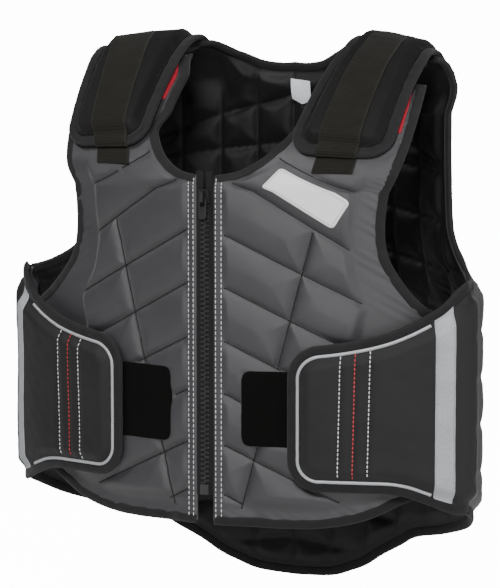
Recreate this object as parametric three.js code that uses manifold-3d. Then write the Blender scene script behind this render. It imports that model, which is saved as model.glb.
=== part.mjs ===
// An equestrian body protector: a padded, zip-fronted vest with quilted front panels, a long
// back, padded shoulders and wrap-round waist flaps, standing in its worn shape.
//
// Millimetres, +Z up, +X to the wearer's left, -Y to the wearer's front. The origin lies on the
// wearer's trunk axis at the height where the shoulders carry the vest.
import * as THREE from 'three';
import Module from 'manifold-3d';
import { mergeVertices } from 'three/addons/utils/BufferGeometryUtils.js';

const wasm = await Module();
wasm.setup();

// Trunk form, on the outer face of the padding
const halfWidth = 236; // trunk axis to the side of a front panel
const frontDepth = 113; // trunk axis to the zip
const backDepth = 118; // trunk axis to the middle of the back
const widestSet = 30; // how far ahead of the trunk axis the widest line lies
const shoulderNarrowing = 16; // the back's half width lost between waist and armhole
const frontSpread = 1.25; // superellipse powers of the plan sections
const frontRound = 1.8;
const backSpread = 2.1;
const backRound = 2.0;

// Heights above the origin, and lengths up the cloth
const hemDrop = 455; // origin to the front hem
const tailDrop = 546; // origin to the lowest point of the back
const chestTurn = -130; // where the front begins to lean back to the shoulder
const backTurn = -60; // where the back begins to lean forward to the shoulder
const frontClimb = 215; // length of cloth from the chest turn to the crest
const backClimb = 110; // length of cloth from the back turn to the crest
const climbStart = 0.3; // share of the climb's rise before it begins to turn
const frontTurn = 0.3; // share of the climb's run that is left for turning level
const rearTurn = 0.65;
const zipTop = -109;
const zipBottom = -426;

// Shoulder crest, on the panels' outer face, under the shoulder pads
const crestInner = 80; // neck end of the crest, from the middle
const crestBack = 66; // crest behind the trunk axis, at the neck end
const crestSweep = 0.40; // forward sweep of the crest towards the armhole
const crestHeight = 10;
const crestFall = 0.13; // fall of the crest towards the armhole

// Padding and cloth
const frontPadding = 18;
const backPadding = 22;
const flapPadding = 12;
const shoulderPadding = 14;
const marginCloth = 4.4; // unpadded edge margins
const shoulderCloth = 9; // the panels' shoulder ends, under the pads
const seamDepth = 4; // depth of a sewn quilting channel
const seamReach = 11; // half width of the channel's mouth
const tapeThickness = 1.7; // hook-and-loop tape
const flapRise = 2.6; // flap above the front panel
const padRise = 2.6; // shoulder pad above the panels' shoulder ends
const clearance = 0.3; // gap between touching pieces
const sewnGap = 0.6; // gap between a cloth's edge and its binding

// Quilting of the front: seams climb to the middle at one pitch, crossed by slanting seams
const seamPitch = 52;
const seamSlope = 0.52;
const firstSeam = -159; // height of the first full seam, carried on to the middle
const crossLean = 0.256; // slant of the crossing seams
const firstCross = 149; // a crossing seam's distance from the middle at shoulder height
const blockPitch = 44; // upright channels of the back

// Edges
const bindingWidth = 9;
const bindingThickness = 6;
const bindingStep = 20; // longest straight run of a binding
const zipGap = 9; // middle to a front panel's zip edge
const zipSet = 1; // outer face to the zip edge's cloth
const zipMargin = 10; // flat stitched strip beside the zip
const zipLevel = 40; // strip in which the margin sinks from the zip's level
const edgeMargin = 13; // strip in which the padding thins out to the binding

// Front panels' shoulder ends and armholes, which lie unevenly as the straps are fastened
const tabTopLeft = 12; // height up the cloth of the shoulder end
const tabTopRight = 38;
const tabShow = 12; // how far the right end stands out at the neck, past its pad
const tabShowBottom = -60; // where it begins to stand out
const armSet = 9; // the right armhole's edge, nearer the middle than the left one's
const armSetBottom = -250;

// Waist flaps
const flapCorner = 30;
const reachLeft = 84; // middle to the flap's front end, as fastened
const reachRight = 94;
const stripWidth = 20; // woven reflective strip
const stripSet = 27; // trunk's side to the strip's middle, along the cloth
const stripThickness = 1.2;

// Shoulder pads and straps
const padInner = 86; // middle to the pad's neck edge
const padOuter = 183; // middle to the pad's armhole edge
const padRear = 95; // crest to the pad's sewn end, over the back
const padReachLeft = 168; // crest to the pad's front end, as fastened
const padReachRight = 163;
const padCorner = 24;
const padSlant = 0.08; // slant of the pads towards the middle, down the front
const padSlantFrom = 40; // crest to where they begin to slant
const strapWidth = 39;
const strapAcross = 134; // middle to the strap's middle, along the pad
const strapLeanLeft = 0; // slant of the strap on its pad
const strapLeanRight = 0.13;
const strapLeanFrom = 100; // crest to where a slanting strap crosses the pad's middle
const strapTop = 12; // crest to the strap's sewn end
const catchLength = 34; // catch tape from under the pad's end to its own lower end
const redLength = 50;
const redBelow = 13; // shoulder end's top to the red tape's upper edge
const redInset = 11; // shoulder end's edge to the red tape's end
const redThickness = 1.1;

// Zip
const chainWidth = 9;
const chainThickness = 2.8;
const zipTapeThickness = 1.7;
const zipTapeSet = 1; // front panel's edge to the tape that carries the teeth
const sliderWidth = 11;
const sliderLength = 13;
const sliderPlate = 1.6;
const sliderTop = zipTop - 20;
const crownWidth = 3;
const crownHeight = 5;
const crownLength = 10;
const crownBar = 1.5;
const pullWidth = 8;
const pullLength = 20;
const pullThickness = 1.6;
const pullEye = 6; // length of the pull's eye
const boxHeight = 10;

// Badge, patches and label
const badgeLength = 80;
const badgeHeight = 31;
const badgeThickness = 1.2;
const badgeAcross = 99;
const badgeHeightAt = -131;
const badgeTilt = 0.55;
const patchInner = 38; // middle to a loop patch's inner edge
const patchLength = 110;
const patchTop = -303;
const patchHeight = 73;
const patchCorner = 9;
const labelWidth = 24;
const labelLength = 24;
const labelPoint = 7;
const labelThickness = 1;
const labelAcross = 13;
const labelTop = -20;

const mix = (a, b, t) => a + (b - a) * t;
const clamp = (t) => Math.min(1, Math.max(0, t));
const smooth = (t) => clamp(t) ** 2 * (3 - 2 * clamp(t));

// Half of a plan section, read by arc length from the middle or by distance from the middle
function planSection(width, depth, spread, round, sign) {
  const steps = 400;
  const points = [];
  for (let i = 0; i <= steps; i += 1) {
    const angle = (i / steps) * (Math.PI / 2);
    points.push(new THREE.Vector2(
      width * Math.sin(angle) ** (2 / spread),
      -widestSet + sign * (depth + sign * widestSet) * Math.cos(angle) ** (2 / round),
    ));
  }
  const lengths = [0];
  for (let i = 1; i <= steps; i += 1) lengths.push(lengths[i - 1] + points[i].distanceTo(points[i - 1]));
  const total = lengths[steps];
  const bracket = (values, value) => {
    let low = 0;
    let high = steps;
    while (high - low > 1) {
      const middle = (low + high) >> 1;
      if (values[middle] <= value) low = middle;
      else high = middle;
    }
    return [low, high, clamp((value - values[low]) / (values[high] - values[low]))];
  };
  const acrossValues = points.map((p) => p.x);
  return {
    total,
    at(s) {
      const [low, high, t] = bracket(lengths, Math.abs(s));
      const point = points[low].clone().lerp(points[high], t);
      if (s < 0) point.x *= -1;
      return point;
    },
    along(x) {
      const [low, high, t] = bracket(acrossValues, Math.abs(x));
      return Math.sign(x || 1) * mix(lengths[low], lengths[high], t);
    },
  };
}

const sideWidth = halfWidth + flapRise + flapPadding;
const frontSection = planSection(halfWidth, frontDepth, frontSpread, frontRound, -1);
const backSection = planSection(sideWidth, backDepth, backSpread, backRound, 1);
const upperSection = planSection(
  sideWidth - shoulderNarrowing,
  backDepth,
  backSpread,
  backRound,
  1,
);

// Climb to the crest: a cubic, upright where it leaves the trunk and level at the crest
function climb(plan, turn, t, level) {
  const over = Math.abs(plan.x) - crestInner;
  const u = 1 - t;
  const rise = 3 * u * u * t * climbStart + 3 * u * t * t + t ** 3;
  const run = 3 * u * t * t * (1 - level) + t ** 3;
  return new THREE.Vector3(
    plan.x,
    mix(plan.y, crestBack - crestSweep * over, run),
    mix(turn, crestHeight - crestFall * over, rise),
  );
}

// The trunk's outer face: s along the cloth from the middle, h up the cloth
function frontFace(s, h) {
  const plan = frontSection.at(s);
  if (h <= chestTurn) return new THREE.Vector3(plan.x, plan.y, h);
  return climb(plan, chestTurn, (h - chestTurn) / frontClimb, frontTurn);
}
frontFace.outward = 1;

// The back's arc is told in the lower section's length, the upper section taking its share
function backFace(s, h) {
  const narrow = smooth((h / hemDrop + 0.53) / 0.17);
  const upper = upperSection.at((s * upperSection.total) / backSection.total);
  const plan = backSection.at(s).lerp(upper, narrow);
  if (h <= backTurn) return new THREE.Vector3(plan.x, plan.y, h);
  return climb(plan, backTurn, (h - backTurn) / backClimb, rearTurn);
}
backFace.outward = -1;

const frontCrest = chestTurn + frontClimb;
const backCrest = backTurn + backClimb;

// Over the shoulder: x from the middle, q forward from the crest
function shoulderFace(x, q) {
  if (q >= 0) return frontFace(frontSection.along(x), frontCrest - q);
  const share = backSection.total / upperSection.total;
  return backFace(upperSection.along(x) * share, backCrest + q);
}
shoulderFace.outward = -1;

// The face moved along its normal
function offsetFace(face, a, b, distance) {
  const step = 0.6;
  const across = face(a + step, b).sub(face(a - step, b));
  const up = face(a, b + step).sub(face(a, b - step));
  const normal = across.cross(up).normalize().multiplyScalar(face.outward);
  return face(a, b).addScaledVector(normal, distance);
}

// A closed solid from rows of nodes {out, in}: both faces, and a rim on every free edge
function shell(rows) {
  const columns = rows[0].length;
  const count = rows.length * columns;
  const points = [];
  for (const side of ['out', 'in']) {
    for (const row of rows) for (const node of row) points.push(...node[side].toArray());
  }
  const at = (i, j) => i * columns + j;
  const triangles = [];
  const quad = (a, b, c, d) => triangles.push(a, b, c, a, c, d);
  for (let i = 0; i + 1 < rows.length; i += 1) {
    for (let j = 0; j + 1 < columns; j += 1) {
      const corners = [at(i, j), at(i + 1, j), at(i + 1, j + 1), at(i, j + 1)];
      quad(...corners);
      quad(...corners.map((k) => k + count).reverse());
    }
  }
  const rim = [];
  for (let j = 0; j < columns - 1; j += 1) rim.push(at(0, j));
  for (let i = 0; i < rows.length - 1; i += 1) rim.push(at(i, columns - 1));
  for (let j = columns - 1; j > 0; j -= 1) rim.push(at(rows.length - 1, j));
  for (let i = rows.length - 1; i > 0; i -= 1) rim.push(at(i, 0));
  rim.forEach((a, k) => {
    const b = rim[(k + 1) % rim.length];
    quad(a, b, b + count, a + count);
  });
  return closed(points, triangles);
}

// Geometry with its faces turned outwards, as the signed volume tells
function closed(points, triangles) {
  const corner = (i) => new THREE.Vector3().fromArray(points, 3 * i);
  let volume = 0;
  for (let i = 0; i < triangles.length; i += 3) {
    const [a, b, c] = [0, 1, 2].map((k) => corner(triangles[i + k]));
    volume += a.dot(b.cross(c));
  }
  if (volume < 0) triangles.reverse();
  const geometry = new THREE.BufferGeometry();
  geometry.setAttribute('position', new THREE.Float32BufferAttribute(points, 3));
  geometry.setIndex(triangles);
  geometry.computeVertexNormals();
  return geometry;
}

const sheet = (face, rows) => shell(rows.map((row) => row.map(({ a, b, top, bottom }) => ({
  out: offsetFace(face, a, b, top),
  in: offsetFace(face, a, b, bottom),
}))));

// Boolean work; trim is how far a cut face may be smoothed over
const trim = 0.05;
function toManifold(geometry) {
  const bare = new THREE.BufferGeometry();
  bare.setAttribute('position', geometry.getAttribute('position'));
  bare.setIndex(geometry.getIndex());
  const merged = mergeVertices(bare, 1e-4);
  const mesh = new wasm.Mesh({
    numProp: 3,
    vertProperties: new Float32Array(merged.getAttribute('position').array),
    triVerts: new Uint32Array(merged.getIndex().array),
  });
  return new wasm.Manifold(mesh);
}

function toGeometry(manifold) {
  const mesh = manifold.getMesh();
  const geometry = new THREE.BufferGeometry();
  geometry.setAttribute('position', new THREE.BufferAttribute(mesh.vertProperties, 3));
  geometry.setIndex(new THREE.BufferAttribute(mesh.triVerts, 1));
  geometry.computeVertexNormals();
  return geometry;
}

function cut(geometry, cutters) {
  let body = toManifold(geometry);
  for (const cutter of cutters) body = body.subtract(toManifold(cutter));
  const pieces = body.simplify(trim).decompose();
  const largest = pieces.reduce((best, piece) => (piece.volume() > best.volume() ? piece : best));
  return toGeometry(largest);
}

function join(geometries) {
  const [first, ...others] = geometries.map(toManifold);
  return toGeometry(others.reduce((sum, part) => sum.add(part), first));
}

function mirrored(geometry) {
  const p = geometry.getAttribute('position');
  const points = [];
  for (let i = 0; i < p.count; i += 1) points.push(-p.getX(i), p.getY(i), p.getZ(i));
  return closed(points, Array.from(geometry.getIndex().array).reverse());
}

// Outlines
const point = (x, y) => new THREE.Vector2(x, y);
const spline = (points) => new THREE.SplineCurve(points.map(([x, y]) => point(x, y)))
  .getPoints(points.length * 12);

// A path at steps no longer than the longest straight run, with the runs' ends kept
function walk(runs) {
  const path = [];
  for (const run of runs) {
    const curve = new THREE.CurvePath();
    for (let i = 0; i + 1 < run.length; i += 1) {
      if (run[i].distanceTo(run[i + 1]) > 1e-6) curve.add(new THREE.LineCurve(run[i], run[i + 1]));
    }
    const steps = Math.max(1, Math.ceil(curve.getLength() / bindingStep));
    for (let i = 0; i <= steps; i += 1) {
      const next = curve.getPointAt(i / steps);
      if (!path.length || path[path.length - 1].distanceTo(next) > 0.5) path.push(next);
    }
  }
  return path;
}

// Binding along a run of a sheet's edge nodes, lying beside the edge on its outer side
function edging(face, ring, side, loop = false) {
  const count = ring.length;
  const at = (i) => ring[loop ? (i + count) % count : Math.min(count - 1, Math.max(0, i))];
  const run = (i, j) => point(at(j).a - at(i).a, at(j).b - at(i).b).normalize();
  const sections = ring.map((node, i) => {
    const before = run(i - 1, i);
    const after = run(i, i + 1);
    if (!before.length()) before.copy(after);
    if (!after.length()) after.copy(before);
    const along = before.clone().add(after).normalize();
    const out = point(-along.y, along.x).multiplyScalar(side / Math.max(0.5, along.dot(after)));
    const middle = (node.top + node.bottom) / 2;
    const half = bindingThickness / 2;
    const corner = (distance, offset) => (
      offsetFace(face, node.a + out.x * distance, node.b + out.y * distance, middle + offset)
    );
    return [
      corner(sewnGap, half),
      corner(sewnGap, -half),
      corner(bindingWidth, -0.6 * half),
      corner(bindingWidth, 0.6 * half),
    ];
  });
  const triangles = [];
  const spans = loop ? count : count - 1;
  for (let i = 0; i < spans; i += 1) {
    const j = (i + 1) % count;
    for (let k = 0; k < 4; k += 1) {
      const m = (k + 1) % 4;
      triangles.push(4 * i + k, 4 * j + k, 4 * j + m, 4 * i + k, 4 * j + m, 4 * i + m);
    }
  }
  if (!loop) {
    const last = 4 * (count - 1);
    triangles.push(0, 1, 2, 0, 2, 3, last, last + 2, last + 1, last, last + 3, last + 2);
  }
  return closed(sections.flat().flatMap((p) => p.toArray()), triangles);
}

// Materials
const matt = (color, roughness) => new THREE.MeshStandardMaterial({ color, roughness, metalness: 0 });
const cloth = matt(0x2b2b2e, 0.62);
const bindingTape = matt(0x39393c, 0.8);
const hookTape = matt(0x1c1c19, 0.95);
const plastic = matt(0x0c0c0c, 0.35);
const silver = matt(0xb4b6ba, 0.5);
const red = matt(0xb3202f, 0.8);
const white = matt(0xe4e6e6, 0.6);

const vest = new THREE.Group();
vest.name = 'body_protector';
function add(name, geometry, material) {
  const mesh = new THREE.Mesh(geometry, material);
  mesh.name = name;
  vest.add(mesh);
}

function addPair(name, geometry, material) {
  add(`${name}_left`, geometry, material);
  add(`${name}_right`, mirrored(geometry), material);
}

// Front panel outline, told as shares: across of the half width, up of the hem's drop
const shares = (points, width, drop) => spline(points.map(([across, up]) => [across * width, up * drop]));
const frontSides = {
  left: { tabTop: tabTopLeft, show: 0, set: 0 },
  right: { tabTop: tabTopRight, show: tabShow, set: armSet },
};
const neckEdge = (side) => shares([
  [0.338, side.tabTop / hemDrop],
  [0.337, -0.035],
  [0.328, -0.09],
  [0.302, -0.131],
  [0.258, -0.168],
  [0.205, -0.199],
  [0.13, -0.226],
  [zipGap / halfWidth, zipTop / hemDrop],
], halfWidth, hemDrop).map((p) => {
  const out = smooth((p.y - tabShowBottom) / 25) * smooth((side.tabTop - p.y) / 40);
  return point(p.x - side.show * out, p.y);
});
const armEdge = (side) => shares([
  [0.80, side.tabTop / hemDrop],
  [0.805, -0.05],
  [0.797, -0.14],
  [0.772, -0.22],
  [0.738, -0.30],
  [0.728, -0.37],
  [0.742, -0.42],
  [0.79, -0.468],
  [0.87, -0.52],
  [0.95, -0.548],
  [0.985, -0.556],
], halfWidth, hemDrop).map((p) => point(p.x - side.set * smooth((p.y - armSetBottom) / 50), p.y));
const hemEdge = shares([
  [0.985, -0.905],
  [0.95, -0.912],
  [0.80, -0.945],
  [0.67, -0.978],
  [0.52, -0.997],
  [0.35, -1.003],
  [zipGap / halfWidth, -1],
], halfWidth, hemDrop);

// Where a slanting row, up = start - slope * across, first crosses an edge from above
function crossing(edge, row) {
  const above = (p) => p.y - (row.start - row.slope * p.x);
  for (let i = 0; i + 1 < edge.length; i += 1) {
    const first = above(edge[i]);
    const second = above(edge[i + 1]);
    if (first >= 0 && second < 0) return edge[i].clone().lerp(edge[i + 1], first / (first - second));
  }
  return edge[edge.length - 1].clone();
}

// Rows for each band between two seams: at the upper seam, then beside either seam's mouth
function withBands(seams) {
  const mouth = seamReach / seamPitch;
  const rows = [];
  for (let i = 0; i + 1 < seams.length; i += 1) {
    const [upper, lower] = [seams[i], seams[i + 1]];
    rows.push({ ...upper, depth: upper.sewn ? 1 : 0 });
    if (upper.sewn) {
      for (const t of [mouth, ...(upper.fan || []), 1 - mouth]) {
        rows.push({
          start: mix(upper.start, lower.start, t),
          slope: mix(upper.slope, lower.slope, t),
          depth: 0,
        });
      }
    }
  }
  rows.push({ ...seams[seams.length - 1], depth: 0 });
  return rows;
}

// Height of the hem's edge at a distance from the middle
function hemAt(x) {
  const i = hemEdge.findIndex((p) => p.x < x);
  if (i < 0) return hemEdge[hemEdge.length - 1].y;
  if (i === 0) return hemEdge[0].y;
  const [far, near] = [hemEdge[i - 1], hemEdge[i]];
  return mix(near.y, far.y, (x - near.x) / (far.x - near.x));
}

const fullSeams = Math.floor((hemDrop + firstSeam - seamPitch / 2) / seamPitch) + 1;
const frontSeams = (side) => [
  { start: side.tabTop - bindingWidth, slope: 0.01 },
  { start: side.tabTop - bindingWidth - 1, slope: 0.02 },
  ...(side.tabTop > 20 ? [{ start: 8, slope: 0.06 }] : []),
  { start: -20, slope: 0.12 },
  { start: -34, slope: 0.3 },
  { start: -47, slope: 0.56, sewn: true },
  { start: -106, slope: 0.54, sewn: true, fan: [0.32, 0.5] },
  ...Array.from({ length: fullSeams }, (_, k) => (
    { start: firstSeam - k * seamPitch, slope: seamSlope, sewn: true }
  )),
  { start: -hemDrop, slope: 0 },
  { start: -hemDrop, slope: 0 },
];
const squeeze = 1.8; // closest spacing of the rows that the hem crowds together

// The grid of one front panel, from its zip or neck edge out to its armhole, side or hem
function frontGrid(grow, side) {
  const set = bindingWidth - grow;
  const inEdge = [...neckEdge(side), point(zipGap, -1.2 * hemDrop)];
  const outEdge = [...armEdge(side), hemEdge[0], point(hemEdge[0].x, -1.2 * hemDrop)];
  const ragged = withBands(frontSeams(side)).map((row) => {
    const inner = crossing(inEdge, row);
    const outer = crossing(outEdge, row);
    const neck = inner.y > zipTop + 1;
    const edgeIn = inner.x + (neck ? set : 0);
    const flatIn = inner.x + (neck ? bindingWidth + 1.5 : 1.5);
    const padIn = inner.x + (neck ? bindingWidth : 0) + zipMargin;
    const edgeOut = outer.x - set;
    const flatOut = outer.x - bindingWidth - 2;
    const padOut = flatOut - edgeMargin;
    const room = padOut - padIn;
    const seam = firstCross + crossLean * (inner.y - row.slope * 80);
    const mouth = Math.min(seamReach, 0.1 * room);
    const b = Math.min(Math.max(seam, padIn + 0.3 * room), padOut - 2.5 * mouth);
    const sewn = b === seam && row.start <= firstSeam ? 1 : 0;
    return [
      { x: edgeIn, pad: 0 },
      { x: flatIn, pad: 0 },
      { x: padIn, pad: 0.9 },
      { x: mix(padIn, b - mouth, 0.5), pad: 1 },
      { x: b - mouth, pad: 1 },
      { x: b, pad: 1, cross: sewn },
      { x: b + mouth, pad: 1 },
      { x: mix(b + mouth, padOut, 0.5), pad: 1 },
      { x: padOut, pad: 0.9 },
      { x: flatOut, pad: 0 },
      { x: edgeOut, pad: 0 },
    ].map(({ x, pad, cross }) => ({ x, pad, cross, row, h: row.start - row.slope * x }));
  });
  const last = ragged.length - 1;
  return ragged.map((row, i) => row.map(({ x, pad: fill, cross, row: seam, h: free }) => {
    const hem = hemAt(x) + set;
    const margin = i === last ? 0 : bindingWidth + 1.5 - set + (last - 1 - i) * squeeze;
    const risen = i === 0 ? grow : 0;
    const h = i >= last - 1 ? hem + margin : Math.max(free, hem + margin) + risen;
    const crowd = clamp((h - hem - 2) / edgeMargin);
    const pad = i === last ? 0 : fill * crowd;
    const tab = smooth((h - chestTurn) / 40);
    const full = pad * (1 - tab);
    const sewn = Math.max(h === free ? seam.depth : 0, cross || 0) * full * seamDepth;
    const level = smooth((zipGap + 1.5 + zipLevel - x) / zipLevel);
    const sunk = mix((frontPadding - marginCloth) / 2, zipSet, level);
    const marginTop = -sunk * (1 - tab);
    const marginDeep = marginTop - mix(marginCloth, shoulderCloth, tab * pad);
    return {
      a: frontSection.along(x),
      b: h,
      top: mix(marginTop, 0, full) - sewn + grow,
      bottom: mix(marginDeep, -frontPadding, full) - grow,
    };
  }));
}

// Both sides are made as the left one, and the right one is mirrored
function addSide(name, side, geometry, material) {
  add(`${name}_${side}`, side === 'right' ? mirrored(geometry) : geometry, material);
}

const frontCutters = {};
for (const [name, side] of Object.entries(frontSides)) {
  frontCutters[name] = sheet(frontFace, frontGrid(clearance, side));
  const nodes = frontGrid(0, side);
  const zipRow = nodes.findIndex((row) => row[0].b < zipTop - 1);
  addSide('front_panel', name, sheet(frontFace, nodes), cloth);
  addSide('front_binding', name, edging(frontFace, [
    ...nodes.slice(0, zipRow).map((row) => row[0]).reverse(),
    ...nodes[0].slice(1),
    ...nodes.slice(1).map((row) => row[row.length - 1]),
    ...[...nodes[nodes.length - 1]].reverse().slice(1),
  ], 1), bindingTape);
}

// Distance of a point from a bound path, as a share of the way to full padding
function fullness(path, p) {
  let nearest = Infinity;
  for (let i = 0; i + 1 < path.length; i += 1) {
    const run = path[i + 1].clone().sub(path[i]);
    const t = clamp(p.clone().sub(path[i]).dot(run) / (run.lengthSq() || 1));
    nearest = Math.min(nearest, path[i].clone().addScaledVector(run, t).distanceTo(p));
  }
  return smooth((nearest - bindingWidth) / edgeMargin);
}

// Height of an outline at a distance along the cloth; its points run one way
function heightAt(edge, a) {
  const points = edge[0].x > edge[edge.length - 1].x ? [...edge].reverse() : edge;
  const i = points.findIndex((p) => p.x > a);
  if (i === 0) return points[0].y;
  if (i < 0) return points[points.length - 1].y;
  const [low, high] = [points[i - 1], points[i]];
  return mix(low.y, high.y, (a - low.x) / (high.x - low.x));
}

// Back panel outline, as shares of the section's length and heights in millimetres
const sideTop = -0.472 * hemDrop; // where flap and back meet under the arm
const sideBottom = -0.967 * hemDrop;
const backOutline = (points) => spline(points.map(([share, up]) => [share * backSection.total, up]));
const backNeck = backOutline([
  [0, -4],
  [0.05, -3],
  [0.118, 4],
  [0.171, 19],
  [0.215, 36],
  [0.245, 47],
  [0.262, backCrest],
]);
const backArm = backOutline([
  [0.655, backCrest],
  [0.69, 25],
  [0.71, 0],
  [0.72, -40],
  [0.72, -90],
  [0.73, -140],
  [0.75, -175],
  [0.80, -199],
  [0.88, -211],
  [0.95, sideTop],
  [1, sideTop],
]);
const backTail = backOutline([
  [1, sideBottom],
  [0.93, -0.985 * hemDrop],
  [0.80, -0.85 * tailDrop],
  [0.62, -0.879 * tailDrop],
  [0.48, -0.897 * tailDrop],
  [0.41, -0.918 * tailDrop],
  [0.335, -0.941 * tailDrop],
  [0.27, -0.965 * tailDrop],
  [0.21, -0.98 * tailDrop],
  [0.13, -0.995 * tailDrop],
  [0, -tailDrop],
]);
const flip = (run) => [...run].reverse().map((p) => point(-p.x, p.y));
const crestRun = [backNeck[backNeck.length - 1], backArm[0]];
const backUpperPath = walk([
  flip(backArm),
  flip(crestRun),
  flip(backNeck),
  backNeck,
  crestRun,
  backArm,
]);
const backTailPath = walk([backTail, flip(backTail)]);

// The side-most column's heights down the back, where the armhole's shape needs them
const backRows = [
  ...[1, 0.87, 0.68, 0.42, 0.1, -0.3, -0.9].map((share) => share * (backCrest - bindingWidth)),
  ...[0.2, 0.31, 0.385, 0.43, 0.455, 0.475].map((share) => -share * hemDrop),
  ...[0.6, 0.75, 0.87].map((share) => -share * hemDrop),
  sideBottom + bindingWidth + 1.5,
  sideBottom + bindingWidth,
];

function backGrid(grow) {
  const set = bindingWidth - grow;
  const count = Math.round(backSection.total / (blockPitch / 2));
  const nominal = Array.from({ length: count }, (_, j) => (j * blockPitch) / 2);
  nominal.push(backSection.total);
  const edgeTop = backRows[0];
  const edgeBottom = backRows[backRows.length - 1];
  return backRows.map((edge) => {
    const swapped = backArm.map((p) => point(-p.y, p.x));
    const arm = edge > sideTop ? heightAt(swapped, -edge) - set : backSection.total;
    const t = (edgeTop - edge) / (edgeTop - edgeBottom);
    const half = nominal.map((value, j) => {
      const a = Math.min(value, arm - (count - j) * squeeze);
      const top = (a < backNeck[backNeck.length - 1].x ? heightAt(backNeck, a) : backCrest) - set;
      const bottom = heightAt(backTail, a) + set;
      const b = mix(top, bottom, t);
      const pad = Math.min(fullness(backUpperPath, point(a, b)), fullness(backTailPath, point(a, b)));
      const ends = smooth((b - backTurn) / 50) * smooth((a - 58) / 26);
      const full = pad * (1 - ends);
      const sewn = j % 2 === 0 && a === value && j < count ? seamDepth * full : 0;
      const marginTop = -(backPadding - marginCloth) / 2 * (1 - ends);
      const marginDeep = marginTop - mix(marginCloth, shoulderCloth, ends * pad);
      return {
        a,
        b,
        top: mix(marginTop, 0, full) - 0.4 * sewn + grow,
        bottom: mix(marginDeep, -backPadding, full) + sewn - grow,
      };
    });
    return [...half.slice(1).reverse().map((node) => ({ ...node, a: -node.a })), ...half];
  });
}

const backCutter = sheet(backFace, backGrid(clearance));
const backNodes = backGrid(0);
const lastNodes = backNodes[backNodes.length - 1];
const armRows = backNodes.slice(0, backRows.findIndex((edge) => edge < sideTop));
add('back_panel', sheet(backFace, backNodes), cloth);
add('back_binding', edging(backFace, [
  ...armRows.map((row) => row[0]).reverse(),
  ...backNodes[0].slice(1),
  ...armRows.slice(1).map((row) => row[row.length - 1]),
], 1), bindingTape);
add('tail_binding', edging(backFace, lastNodes, -1), bindingTape);

// Loop patches under the flaps' front ends
function patchSheet(grow) {
  const columns = [0, 0.04, 0.12, 0.3, 0.5, 0.7, 0.9, 1];
  const inset = (share) => {
    const d = share * patchLength;
    return d < patchCorner ? patchCorner - Math.sqrt(patchCorner ** 2 - (patchCorner - d) ** 2) : 0;
  };
  return sheet(frontFace, [0, 0.5, 1].map((up) => columns.map((share) => ({
    a: frontSection.along(patchInner) + mix(-grow, patchLength + grow, share),
    b: patchTop - mix(inset(share) - grow, patchHeight - inset(share) + grow, up),
    top: tapeThickness + 0.2 + grow,
    bottom: -2 - grow,
  }))));
}
for (const [side, cutter] of Object.entries(frontCutters)) {
  addSide('loop_patch', side, cut(patchSheet(0), [cutter]), hookTape);
}

// Waist flaps, from the side seam round to the front
const flapTop = (reach) => spline([
  [0.2 * frontSection.total, -0.61 * hemDrop],
  [0.41 * frontSection.total, -0.609 * hemDrop],
  [0.60 * frontSection.total, -0.593 * hemDrop],
  [0.74 * frontSection.total, -0.569 * hemDrop],
  [0.885 * frontSection.total, -0.525 * hemDrop],
  [0.955 * frontSection.total, -0.487 * hemDrop],
  [frontSection.total, sideTop],
]).filter((p) => p.x > frontSection.along(reach) + flapCorner);
const flapBottom = (reach) => spline([
  [0.2 * frontSection.total, -0.9165 * hemDrop],
  [0.6 * frontSection.total, -0.9165 * hemDrop],
  [0.74 * frontSection.total, -0.92 * hemDrop],
  [0.83 * frontSection.total, -0.936 * hemDrop],
  [0.94 * frontSection.total, -0.961 * hemDrop],
  [frontSection.total, sideBottom],
]).filter((p) => p.x > frontSection.along(reach) + flapCorner);

// A quarter round from one point to another, leaving along the first's tangent
function quarter(from, to, corner) {
  return Array.from({ length: 9 }, (_, i) => {
    const t = i / 8;
    const u = 1 - t;
    return from.clone().multiplyScalar(u * u).addScaledVector(corner, 2 * u * t)
      .addScaledVector(to, t * t);
  });
}

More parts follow.
